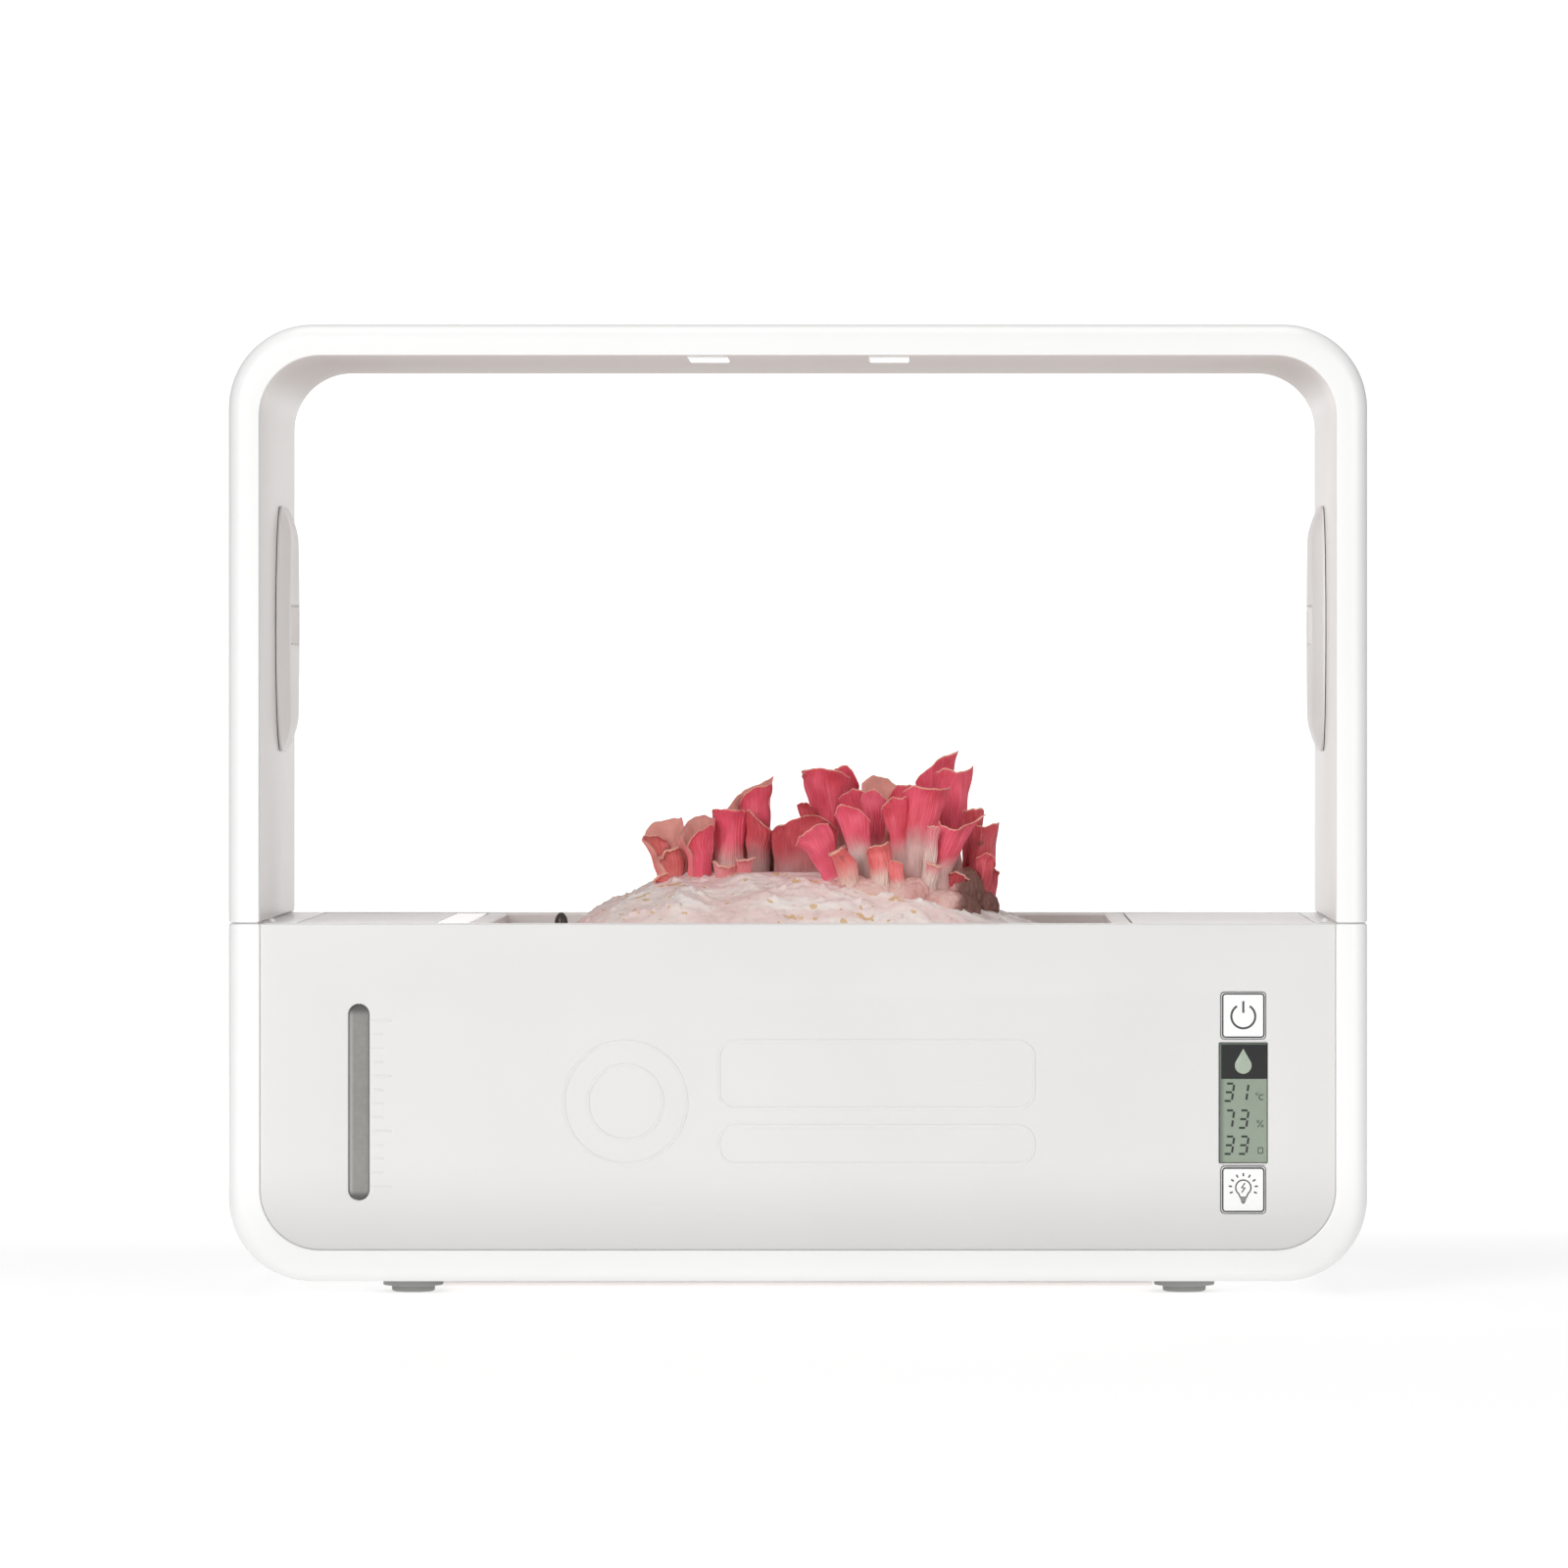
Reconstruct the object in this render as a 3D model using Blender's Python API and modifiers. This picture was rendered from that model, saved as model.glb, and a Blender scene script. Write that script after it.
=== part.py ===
"""Oyster mushroom grow kit: moulded base, lift-off hood, grow tray and two mushroom clusters.

Metres, +Z up. The origin is the middle of the footprint at the height of the surface that the
feet rest on. +X is the right-hand side as seen from the front, and the front faces -Y.
"""
import math
from dataclasses import dataclass

import bmesh
import bpy
from mathutils import Matrix, Vector

# ---------------------------------------------------------------- driving dimensions (metres)
WIDTH = 0.420            # over the rounded rim, side to side
DEPTH = 0.190            # front to back
HEIGHT = 0.358           # resting surface to the top of the hood
FOOT_HEIGHT = 0.005      # clearance under the base
SEAM = 0.1372            # height at which the hood lifts off the base
RIM = 0.0118             # width of the rounded rim around the panels and the opening
OUTER_RADIUS = 0.031     # outer corners, seen from the front
INNER_RADIUS = 0.0224    # corners of the opening and of the panels
RIM_ROUNDING = 0.0065    # rounding of the outer front and back edges
EDGE_ROUNDING = 0.0006   # small rounding of moulded edges
GAP = 0.0003             # clearance between neighbouring pieces
ARC_STEPS = 8            # segments in a quarter circle of an outline
RIM_STEPS = 3            # segments of the rim's rounding
REACH = 0.020            # how far a cutter runs past the face it opens

DECK_TOP = SEAM - 0.0004         # top faces of the lid, strip, tray and cover
DECK_DEPTH = 0.173               # front to back of everything set in the deck
LID_THICKNESS = 0.0025
WELL_LEFT, WELL_RIGHT = -0.1860, 0.1920     # side walls of the deck opening
LID_RIGHT = -0.1348                         # tank lid | grey strip
STRIP_RIGHT = -0.1225                       # grey strip | tray
TRAY_RIGHT = 0.1240                         # tray | control cover
FLOOR_TOP = 0.012                           # upper face of the base floor
BOX_BOTTOM = 0.0123                         # underside of the tank, tray and control cover

TANK_WALL = 0.0020
CONTROL_WALL = 0.0025
TRAY_RIM = 0.0072
TRAY_RIM_THICKNESS = 0.0030
TRAY_WALL = 0.0025
TRAY_FLOOR = 0.020
TRAY_ROUNDING = 0.0007

PANEL_SETBACK = 0.0010           # panel faces behind the foremost point of the rim
PANEL_THICKNESS = 0.0030

LEVEL_SETBACK, DISPLAY_SETBACK, KEY_SETBACK = 0.0018, 0.0008, 0.0001   # behind the panel's face

LEVEL_X, LEVEL_LOW, LEVEL_HIGH, LEVEL_WIDTH = -0.1617, 0.0354, 0.1072, 0.0072
CONTROL_X = 0.1641
KEY_WIDTH, KEY_HEIGHT, KEY_RADIUS = 0.0162, 0.0170, 0.0012
POWER_KEY_Z, LIGHT_KEY_Z = 0.1032, 0.0390
DISPLAY_WIDTH, DISPLAY_LOW, DISPLAY_HIGH = 0.0174, 0.0491, 0.0930

FOOT_X, FOOT_Y = 0.1431, 0.066
FOOT_RADIUS, FOOT_STEP_RADIUS = 0.0112, 0.0080
FOOT_STEP_HIGH, FOOT_STEP_LOW, FOOT_CHAMFER = 0.0024, 0.0021, 0.0006
PLATE_HALF_X, PLATE_HALF_Y, PLATE_LOW, PLATE_ROUNDING = 0.131, 0.084, 0.0030, 0.0004

INLET_X, INLET_Z = 0.150, 0.040             # power inlet, low on the back panel
INLET_RADIUS, INLET_LENGTH, INLET_HOLE_RADIUS = 0.0052, 0.0075, 0.0058
INLET_BORE_RADIUS, INLET_BORE_DEPTH = 0.0027, 0.0055

COVER_LOW, COVER_HIGH = 0.200, 0.293        # side covers, on the inner walls of the hood
COVER_FRONT, COVER_BACK = -0.012, 0.062
COVER_BULGE, COVER_TIP = 0.0046, 0.0008     # thickness in the middle and at the outline
COVER_END_SHARE = 0.35                      # width at the top and bottom, as a share
COVER_RISE, COVER_FLANK = 2.1, 3.2          # how steeply the ends and the flanks rise
COVER_COLUMNS, COVER_ROWS = 6, 12
SLOT_Z, SLOT_HEIGHT = 0.2480, 0.0155
SLOT_INSET, SLOT_FLOOR = 0.015, 0.0012

LENS_X, LENS_WIDTH, LENS_DEPTH, LENS_DROP = 0.0335, 0.0150, 0.048, 0.0008
LENS_FRONT, LENS_SEAT, LENS_ROUNDING = 0.0028, 0.0030, 0.0005

PIN_INSET_X, PIN_INSET_Y = 0.0035, 0.006    # hood pins, from the inner wall and the deck's edge
PIN_RADIUS, PIN_HEIGHT, PIN_SEAT = 0.0014, 0.0016, 0.0002

PROBE_X, PROBE_Y = -0.0895, -0.034
PROBE_SEAT = DECK_TOP - 0.0012              # underside of the probe's head
PROBE_HEAD_RADIUS, PROBE_HEAD_HEIGHT = 0.0025, 0.0042
PROBE_STEM_RADIUS, PROBE_STEM_LENGTH = 0.0012, 0.0210
PROBE_WELL_RADIUS, PROBE_WELL_LENGTH = 0.0031, 0.0232

SUBSTRATE_SHOULDER = 0.118       # height of the block at the tray walls
SUBSTRATE_CROWN = 0.1545         # height of the mound
SUBSTRATE_CENTRE_X = 0.003
SUBSTRATE_HALF_X, SUBSTRATE_HALF_Y = 0.105, 0.080
SUBSTRATE_ALONG_POWER, SUBSTRATE_ACROSS_POWER = 3.2, 2.8
SUBSTRATE_MARGIN = 0.0010        # between the block and the tray's walls
SUBSTRATE_COLUMNS, SUBSTRATE_ROWS = 16, 10

FROND_THICKNESS = 0.0014
FROND_CLEARANCE = 0.0017         # between a frond's foot and the knot
FROND_STEPS = 5
STEM_SHARE, STEM_EXTRA = 0.16, 0.0010    # half-width at the foot: a share of the width and more
SPINE_RISE = 0.6                 # how far up the spine its foot's direction reaches, as a share
FLARE_SHARE = 0.12               # how far the rim leans out, as a share of the width
WIDENING_POWER = 1.1

# ---------------------------------------------------------------- colours (linear RGB)
WHITE = (0.90, 0.895, 0.88)
SATIN_WHITE = (0.84, 0.83, 0.81)
WARM_GREY = (0.52, 0.47, 0.45)
PALE_GREY = (0.66, 0.62, 0.59)
RUBBER_GREY = (0.28, 0.28, 0.26)
DARK = (0.03, 0.028, 0.026)
GLASS_GREY = (0.30, 0.29, 0.27)
DISPLAY_GREEN = (0.26, 0.32, 0.25)
SUBSTRATE_PINK = (0.72, 0.58, 0.53)
STEM_PINK = (0.62, 0.36, 0.33)
CAP_PINK = (0.72, 0.09, 0.12)


# ---------------------------------------------------------------- scene and collections
def clear_scene():
    """Empty the scene of objects, and of the meshes, curves and materials they used."""
    for item in list(bpy.data.objects):
        bpy.data.objects.remove(item, do_unlink=True)
    for store in (bpy.data.meshes, bpy.data.curves, bpy.data.materials):
        for block_data in list(store):
            store.remove(block_data)
    for collection in list(bpy.data.collections):
        bpy.data.collections.remove(collection)


def new_collection(name):
    """A collection linked to the scene."""
    collection = bpy.data.collections.new(name)
    bpy.context.scene.collection.children.link(collection)
    return collection


def principled(name, colour, roughness):
    """A Principled material with one colour and roughness, not metallic."""
    material = bpy.data.materials.new(name)
    material.use_nodes = True
    shader = material.node_tree.nodes["Principled BSDF"]
    shader.inputs["Base Color"].default_value = (*colour, 1.0)
    shader.inputs["Roughness"].default_value = roughness
    return material


# ---------------------------------------------------------------- modelling helpers
class Bench:
    """Puts finished pieces in one collection and cutters in another."""

    def __init__(self):
        self.parts = new_collection("oyster_mushroom_grow_kit")
        self.cutters = new_collection("cutters")

    def place(self, name, mesh, material=None):
        """A piece when it has a material, otherwise a cutter."""
        item = bpy.data.objects.new(name, mesh)
        if material is None:
            self.cutters.objects.link(item)
            item.hide_render = True
            item.display_type = "WIRE"
        else:
            self.parts.objects.link(item)
            mesh.materials.append(material)
        return item

    def from_bmesh(self, name, working, material=None):
        """Turn a finished bmesh into an object."""
        mesh = bpy.data.meshes.new(name)
        bmesh.ops.recalc_face_normals(working, faces=working.faces)
        working.to_mesh(mesh)
        working.free()
        return self.place(name, mesh, material)

    def block(self, name, low, high, material=None, rounding=0.0, segments=2):
        """A box between two corners, with its edges rounded where asked."""
        working = bmesh.new()
        bmesh.ops.create_cube(working, size=1.0)
        low, high = Vector(low), Vector(high)
        bmesh.ops.scale(working, verts=working.verts, vec=high - low)
        bmesh.ops.translate(working, verts=working.verts, vec=(low + high) / 2)
        item = self.from_bmesh(name, working, material)
        if rounding:
            round_edges(item, rounding, segments, angle=35.0)
        return item

    def plate(self, name, outline, y_front, y_back, material=None):
        """An outline drawn on the XZ plane, as thick as the distance between two Y values."""
        drawing = bpy.data.curves.new(name, "CURVE")
        drawing.dimensions = "2D"
        drawing.fill_mode = "BOTH"
        drawing.extrude = (y_back - y_front) / 2
        spline = drawing.splines.new("POLY")
        spline.points.add(len(outline) - 1)
        for point, (x, z) in zip(spline.points, outline):
            point.co = (x, z, 0.0, 1.0)
        spline.use_cyclic_u = True
        drawn = bpy.data.objects.new(name + "_drawing", drawing)
        self.cutters.objects.link(drawn)
        evaluated = drawn.evaluated_get(bpy.context.evaluated_depsgraph_get())
        mesh = bpy.data.meshes.new_from_object(evaluated)
        bpy.data.objects.remove(drawn, do_unlink=True)
        working = bmesh.new()
        working.from_mesh(mesh)
        bpy.data.meshes.remove(mesh)
        bmesh.ops.remove_doubles(working, verts=working.verts, dist=1e-5)
        bmesh.ops.dissolve_limit(working, angle_limit=math.radians(1.0), verts=working.verts,
                                 edges=working.edges)
        bmesh.ops.rotate(working, verts=working.verts,
                         matrix=Matrix.Rotation(math.pi / 2, 3, "X"))
        bmesh.ops.translate(working, verts=working.verts, vec=(0.0, (y_front + y_back) / 2, 0.0))
        return self.from_bmesh(name, working, material)

    def turned(self, name, profile, centre, material=None, steps=20, axis="Z"):
        """A turned piece: a profile of (radius, height) pairs from its top to its bottom."""
        mesh = bpy.data.meshes.new(name)
        working = bmesh.new()
        corners = [working.verts.new((radius, 0.0, height)) for radius, height in profile]
        for upper, lower in zip(corners, corners[1:]):
            working.edges.new((upper, lower))
        working.to_mesh(mesh)
        working.free()
        item = self.place(name, mesh, material)
        screw = item.modifiers.new("turn", "SCREW")
        screw.axis = "Z"
        screw.steps = steps
        screw.render_steps = steps
        screw.use_merge_vertices = True
        screw.merge_threshold = 0.00001
        item.location = centre
        if axis == "Y":
            item.rotation_euler = (-math.pi / 2, 0.0, 0.0)
        return item


def round_edges(item, width, segments=1, angle=60.0):
    """Round every edge sharper than the angle."""
    bevel = item.modifiers.new("rounding", "BEVEL")
    bevel.width = width
    bevel.segments = segments
    bevel.limit_method = "ANGLE"
    bevel.angle_limit = math.radians(angle)


def boolean(item, other, operation):
    """Cut, join or intersect an object with another one."""
    modifier = item.modifiers.new(operation.lower(), "BOOLEAN")
    modifier.operation = operation
    modifier.object = other
    modifier.solver = "EXACT"


def shade_round(item, angle=35.0):
    """Smooth shading, with edges sharper than the angle kept crisp."""
    item.data.shade_smooth()
    item.data.set_sharp_from_angle(angle=math.radians(angle))


def rod_profile(radius, top, bottom):
    """Profile of a plain rod, from its top to its bottom."""
    return [(0.0, top), (radius, top), (radius, bottom), (0.0, bottom)]


def rounded_outline(x_low, x_high, z_low, z_high, radii, steps=ARC_STEPS):
    """Corners of a rounded rectangle, anticlockwise from bottom left, one radius each."""
    corners = [(x_low, z_low, 1, 1, 180.0), (x_high, z_low, -1, 1, 270.0),
               (x_high, z_high, -1, -1, 0.0), (x_low, z_high, 1, -1, 90.0)]
    points = []
    for (x, z, x_sign, z_sign, start), radius in zip(corners, radii):
        if radius <= 0.0:
            points.append((x, z))
            continue
        centre_x, centre_z = x + x_sign * radius, z + z_sign * radius
        for step in range(steps + 1):
            angle = math.radians(start + 90.0 * step / steps)
            points.append((centre_x + radius * math.cos(angle),
                           centre_z + radius * math.sin(angle)))
    return points


# ---------------------------------------------------------------- housing
def shell_blank(bench, name, material):
    """The whole rounded block that the base and the hood are cut from."""
    outline = rounded_outline(-WIDTH / 2, WIDTH / 2, FOOT_HEIGHT, HEIGHT, [OUTER_RADIUS] * 4)
    blank = bench.plate(name, outline, -DEPTH / 2, DEPTH / 2, material)
    round_edges(blank, RIM_ROUNDING, RIM_STEPS)
    return blank


def panel_outline(growth=0.0, top=SEAM):
    """The front and back panels' outline: square at the seam, rounded below."""
    half = WIDTH / 2 - RIM + growth
    low = FOOT_HEIGHT + RIM - growth
    radius = INNER_RADIUS + growth
    return rounded_outline(-half, half, low, top, [radius, radius, 0.0, 0.0])


def build_base(bench, white):
    """The tub: recessed front and back for the panels, a floor and an open deck."""
    base = shell_blank(bench, "base_shell", white)
    above = bench.block("above_seam", (-WIDTH, -WIDTH, SEAM - GAP / 2),
                        (WIDTH, WIDTH, HEIGHT + REACH))
    boolean(base, above, "DIFFERENCE")
    seat = PANEL_SETBACK + PANEL_THICKNESS + GAP
    for side, name in ((-1, "front_seat"), (1, "back_seat")):
        face, floor = side * (DEPTH / 2 + REACH), side * (DEPTH / 2 - seat)
        cutter = bench.plate(name, panel_outline(GAP, SEAM + REACH), min(face, floor),
                             max(face, floor))
        boolean(base, cutter, "DIFFERENCE")
    half_deck = DECK_DEPTH / 2 + GAP
    well = bench.block("deck_well", (WELL_LEFT, -half_deck, FLOOR_TOP),
                       (WELL_RIGHT, half_deck, SEAM + REACH))
    boolean(base, well, "DIFFERENCE")
    inlet_hole = bench.turned("inlet_hole", rod_profile(INLET_HOLE_RADIUS, REACH, -REACH),
                              (INLET_X, DEPTH / 2, INLET_Z), axis="Y", steps=16)
    boolean(base, inlet_hole, "DIFFERENCE")
    round_edges(base, EDGE_ROUNDING)
    shade_round(base)
    return inlet_hole


def build_hood(bench, white):
    """The arch: open to the front and the back, with pockets for the two light lenses."""
    hood = shell_blank(bench, "hood", white)
    below = bench.block("below_seam", (-WIDTH, -WIDTH, -REACH), (WIDTH, WIDTH, SEAM + GAP / 2))
    boolean(hood, below, "DIFFERENCE")
    half = WIDTH / 2 - RIM
    ceiling = HEIGHT - RIM
    outline = rounded_outline(-half, half, SEAM - REACH, ceiling, [0.0, 0.0] + [INNER_RADIUS] * 2)
    tunnel = bench.plate("tunnel", outline, -DEPTH, DEPTH)
    boolean(hood, tunnel, "DIFFERENCE")
    for side, name in ((-1, "lens_pocket_left"), (1, "lens_pocket_right")):
        x_low = side * LENS_X - LENS_WIDTH / 2 - GAP
        y_low = -DEPTH / 2 + LENS_FRONT - GAP
        pocket = bench.block(name, (x_low, y_low, ceiling - REACH),
                             (x_low + LENS_WIDTH + 2 * GAP, y_low + LENS_DEPTH + 2 * GAP,
                              ceiling + LENS_SEAT + GAP))
        boolean(hood, pocket, "DIFFERENCE")
    round_edges(hood, EDGE_ROUNDING)
    shade_round(hood)


def build_panels(bench, satin, inlet_hole):
    """Front panel with its windows, and the plain back panel with the inlet's hole."""
    face = -DEPTH / 2 + PANEL_SETBACK
    front = bench.plate("front_panel", panel_outline(0.0, SEAM - GAP), face,
                        face + PANEL_THICKNESS, satin)
    for cutter in front_openings(bench):
        boolean(front, cutter, "DIFFERENCE")
    round_edges(front, EDGE_ROUNDING)
    shade_round(front)
    back = bench.plate("back_panel", panel_outline(0.0, SEAM - GAP), -face - PANEL_THICKNESS,
                       -face, satin)
    boolean(back, inlet_hole, "DIFFERENCE")
    round_edges(back, EDGE_ROUNDING)
    shade_round(back)


def level_outline(growth=0.0):
    """A capsule standing upright."""
    half = LEVEL_WIDTH / 2 + growth
    return rounded_outline(LEVEL_X - half, LEVEL_X + half, LEVEL_LOW - growth,
                           LEVEL_HIGH + growth, [half * 0.999] * 4, steps=5)


def key_outline(centre_z, growth=0.0):
    """A key: a rectangle with small round corners."""
    half_x, half_z = KEY_WIDTH / 2 + growth, KEY_HEIGHT / 2 + growth
    return rounded_outline(CONTROL_X - half_x, CONTROL_X + half_x, centre_z - half_z,
                           centre_z + half_z, [KEY_RADIUS + growth] * 4, steps=3)


def display_outline(growth=0.0):
    """The display: a plain upright rectangle."""
    half = DISPLAY_WIDTH / 2 + growth
    return rounded_outline(CONTROL_X - half, CONTROL_X + half, DISPLAY_LOW - growth,
                           DISPLAY_HIGH + growth, [0.0] * 4)


def front_openings(bench):
    """Cutters for the level window, the display and the keys."""
    near, far = -DEPTH / 2 - REACH, -DEPTH / 2 + REACH
    outlines = {"level_hole": level_outline(GAP), "display_hole": display_outline(GAP),
                "power_hole": key_outline(POWER_KEY_Z, GAP),
                "light_hole": key_outline(LIGHT_KEY_Z, GAP)}
    return [bench.plate(name, outline, near, far) for name, outline in outlines.items()]


def build_controls(bench, glass, green, white):
    """Level window, display and keys, each set in its hole of the front panel."""
    face = -DEPTH / 2 + PANEL_SETBACK
    seat = face + PANEL_THICKNESS
    level = bench.plate("level_window", level_outline(), face + LEVEL_SETBACK, seat, glass)
    display = bench.plate("display", display_outline(), face + DISPLAY_SETBACK, seat, green)
    power = bench.plate("power_key", key_outline(POWER_KEY_Z), face + KEY_SETBACK, seat, white)
    light = bench.plate("light_key", key_outline(LIGHT_KEY_Z), face + KEY_SETBACK, seat, white)
    for item in (level, display, power, light):
        shade_round(item)


def build_underside(bench, rubber, grey):
    """Four stepped feet and the service plate between them."""
    top = FOOT_HEIGHT - GAP
    number = 0
    for y in (-FOOT_Y, FOOT_Y):
        for x in (-FOOT_X, FOOT_X):
            number += 1
            profile = [(0.0, top), (FOOT_RADIUS, top), (FOOT_RADIUS, FOOT_STEP_HIGH),
                       (FOOT_STEP_RADIUS, FOOT_STEP_LOW), (FOOT_STEP_RADIUS, FOOT_CHAMFER),
                       (FOOT_STEP_RADIUS - FOOT_CHAMFER, 0.0), (0.0, 0.0)]
            foot = bench.turned(f"foot_{number}", profile, (x, y, 0.0), rubber, steps=14)
            shade_round(foot)
    bench.block("bottom_plate", (-PLATE_HALF_X, -PLATE_HALF_Y, PLATE_LOW),
                (PLATE_HALF_X, PLATE_HALF_Y, top), grey, PLATE_ROUNDING, 1)


def build_inlet(bench, dark):
    """Barrel inlet at the back: a flanged sleeve with a blind hole for the plug."""
    profile = [(0.0, -INLET_BORE_DEPTH), (INLET_BORE_RADIUS, -INLET_BORE_DEPTH),
               (INLET_BORE_RADIUS, 0.0), (INLET_RADIUS, 0.0), (INLET_RADIUS, -INLET_LENGTH),
               (0.0, -INLET_LENGTH)]
    inlet = bench.turned("power_inlet", profile, (INLET_X, DEPTH / 2 - GAP, INLET_Z), dark, 16,
                         axis="Y")
    shade_round(inlet)


def build_side_covers(bench, grey):
    """A swollen cover with a slot on each inner wall of the hood."""
    wall = WIDTH / 2 - RIM - GAP
    middle_z, half_z = (COVER_LOW + COVER_HIGH) / 2, (COVER_HIGH - COVER_LOW) / 2
    for side, name in ((-1, "side_cover_left"), (1, "side_cover_right")):
        working = bmesh.new()
        bmesh.ops.create_grid(working, x_segments=COVER_COLUMNS, y_segments=COVER_ROWS, size=1.0)
        for vertex in working.verts:
            across, along = vertex.co.x, vertex.co.y
            fullness = min(1.0, COVER_RISE * (1.0 - along ** 2))
            bow = math.sqrt(max(0.0, 1.0 - along ** 2))
            width = COVER_END_SHARE + (1.0 - COVER_END_SHARE) * bow
            flat = min(1.0, COVER_FLANK * (1.0 - abs(across)))
            y = (COVER_FRONT + COVER_BACK) / 2 + across * width * (COVER_BACK - COVER_FRONT) / 2
            inward = COVER_TIP + (COVER_BULGE - COVER_TIP) * fullness * flat
            vertex.co = (side * (wall - inward), y, middle_z + along * half_z)
        rim_edges = [edge for edge in working.edges if edge.is_boundary]
        skirt = bmesh.ops.extrude_edge_only(working, edges=rim_edges)["geom"]
        skirt_corners = [item for item in skirt if isinstance(item, bmesh.types.BMVert)]
        for vertex in skirt_corners:
            vertex.co.x = side * wall
        loose_rim = [edge for edge in working.edges if edge.is_boundary]
        bmesh.ops.contextual_create(working, geom=loose_rim)
        cover = bench.from_bmesh(name, working, grey)
        x_low, x_high = sorted((side * (wall - SLOT_FLOOR), side * (wall - REACH)))
        slot = bench.block(name + "_slot",
                           (x_low, COVER_FRONT + SLOT_INSET, SLOT_Z - SLOT_HEIGHT / 2),
                           (x_high, COVER_BACK - SLOT_INSET, SLOT_Z + SLOT_HEIGHT / 2))
        boolean(cover, slot, "DIFFERENCE")
        shade_round(cover)


def build_lenses(bench, clear):
    """Two light windows let into the ceiling by its front edge."""
    ceiling = HEIGHT - RIM
    for side, name in ((-1, "light_lens_left"), (1, "light_lens_right")):
        x_low, y_low = side * LENS_X - LENS_WIDTH / 2, -DEPTH / 2 + LENS_FRONT
        bench.block(name, (x_low, y_low, ceiling - LENS_DROP),
                    (x_low + LENS_WIDTH, y_low + LENS_DEPTH, ceiling + LENS_SEAT), clear,
                    LENS_ROUNDING, 1)


# ---------------------------------------------------------------- deck
def build_deck(bench, pale_grey, strip_grey, white):
    """Water tank with its lid, the strip beside it, the control cover and the hood's pins."""
    half = DECK_DEPTH / 2 - GAP
    left, right = WELL_LEFT + GAP, WELL_RIGHT - GAP
    lid_low = DECK_TOP - LID_THICKNESS
    lid = bench.block("tank_lid", (left, -half, lid_low), (LID_RIGHT - GAP, half, DECK_TOP),
                      pale_grey, EDGE_ROUNDING)
    shade_round(lid)
    bench.block("deck_strip", (LID_RIGHT, -half, lid_low), (STRIP_RIGHT - GAP, half, DECK_TOP),
                strip_grey, EDGE_ROUNDING)
    tank = bench.block("water_tank", (left, -half, BOX_BOTTOM),
                       (STRIP_RIGHT - GAP, half, lid_low - GAP), pale_grey)
    tank_room = bench.block("tank_room",
                            (left + TANK_WALL, -half + TANK_WALL, BOX_BOTTOM + TANK_WALL),
                            (STRIP_RIGHT - GAP - TANK_WALL, half - TANK_WALL, SEAM + REACH))
    boolean(tank, tank_room, "DIFFERENCE")
    cover_left = TRAY_RIGHT + GAP
    cover = bench.block("control_cover", (cover_left, -half, BOX_BOTTOM), (right, half, DECK_TOP),
                        pale_grey, EDGE_ROUNDING)
    cover_room = bench.block("cover_room", (cover_left + CONTROL_WALL, -half + CONTROL_WALL, 0.0),
                             (right - CONTROL_WALL, half - CONTROL_WALL, lid_low))
    boolean(cover, cover_room, "DIFFERENCE")
    shade_round(cover)
    for side, name in ((-1, "hood_pin_left"), (1, "hood_pin_right")):
        centre = (side * (WIDTH / 2 - RIM - PIN_INSET_X), -DECK_DEPTH / 2 + PIN_INSET_Y, SEAM)
        dome = [(PIN_RADIUS * share, PIN_HEIGHT * height)
                for share, height in ((0.0, 1.0), (0.71, 0.81), (1.0, 0.44))]
        profile = dome + [(PIN_RADIUS, PIN_SEAT), (0.0, PIN_SEAT)]
        pin = bench.turned(name, profile, centre, white, steps=12)
        shade_round(pin)


def build_tray(bench, rim_grey):
    """The grow tray: a thin-walled basin under a wider flat rim."""
    half = DECK_DEPTH / 2 - GAP
    left, right = STRIP_RIGHT + GAP, TRAY_RIGHT - GAP
    tray = bench.block("grow_tray", (left, -half, DECK_TOP - TRAY_RIM_THICKNESS),
                       (right, half, DECK_TOP), rim_grey)
    inset = TRAY_RIM - TRAY_WALL
    basin = bench.block("tray_basin", (left + inset, -half + inset, BOX_BOTTOM),
                        (right - inset, half - inset, DECK_TOP - TRAY_RIM_THICKNESS / 3))
    boolean(tray, basin, "UNION")
    room = bench.block("tray_room", (left + TRAY_RIM, -half + TRAY_RIM, TRAY_FLOOR),
                       (right - TRAY_RIM, half - TRAY_RIM, SEAM + REACH))
    boolean(tray, room, "DIFFERENCE")
    round_edges(tray, TRAY_ROUNDING)


def build_probe(bench, dark):
    """A slim probe with a domed head, standing in the left end of the tray."""
    dome = [(PROBE_HEAD_RADIUS * share, PROBE_HEAD_HEIGHT * height)
            for share, height in ((0.0, 1.0), (0.44, 0.90), (0.84, 0.62), (1.0, 0.24), (1.0, 0.0))]
    stem = [(PROBE_STEM_RADIUS, -GAP), (PROBE_STEM_RADIUS, -PROBE_STEM_LENGTH + 0.001),
            (0.0, -PROBE_STEM_LENGTH)]
    probe = bench.turned("moisture_probe", dome + stem, (PROBE_X, PROBE_Y, PROBE_SEAT), dark, 14)
    shade_round(probe)


# ---------------------------------------------------------------- substrate
def mound_height(x, y):
    """Height of the block's top: a flat-topped dome that falls to the shoulder at the walls."""
    along = min(1.0, abs(x - SUBSTRATE_CENTRE_X) / SUBSTRATE_HALF_X)
    across = min(1.0, abs(y) / SUBSTRATE_HALF_Y)
    dome = (1.0 - along ** SUBSTRATE_ALONG_POWER) * (1.0 - across ** SUBSTRATE_ACROSS_POWER)
    return SUBSTRATE_SHOULDER + (SUBSTRATE_CROWN - SUBSTRATE_SHOULDER) * dome


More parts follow.
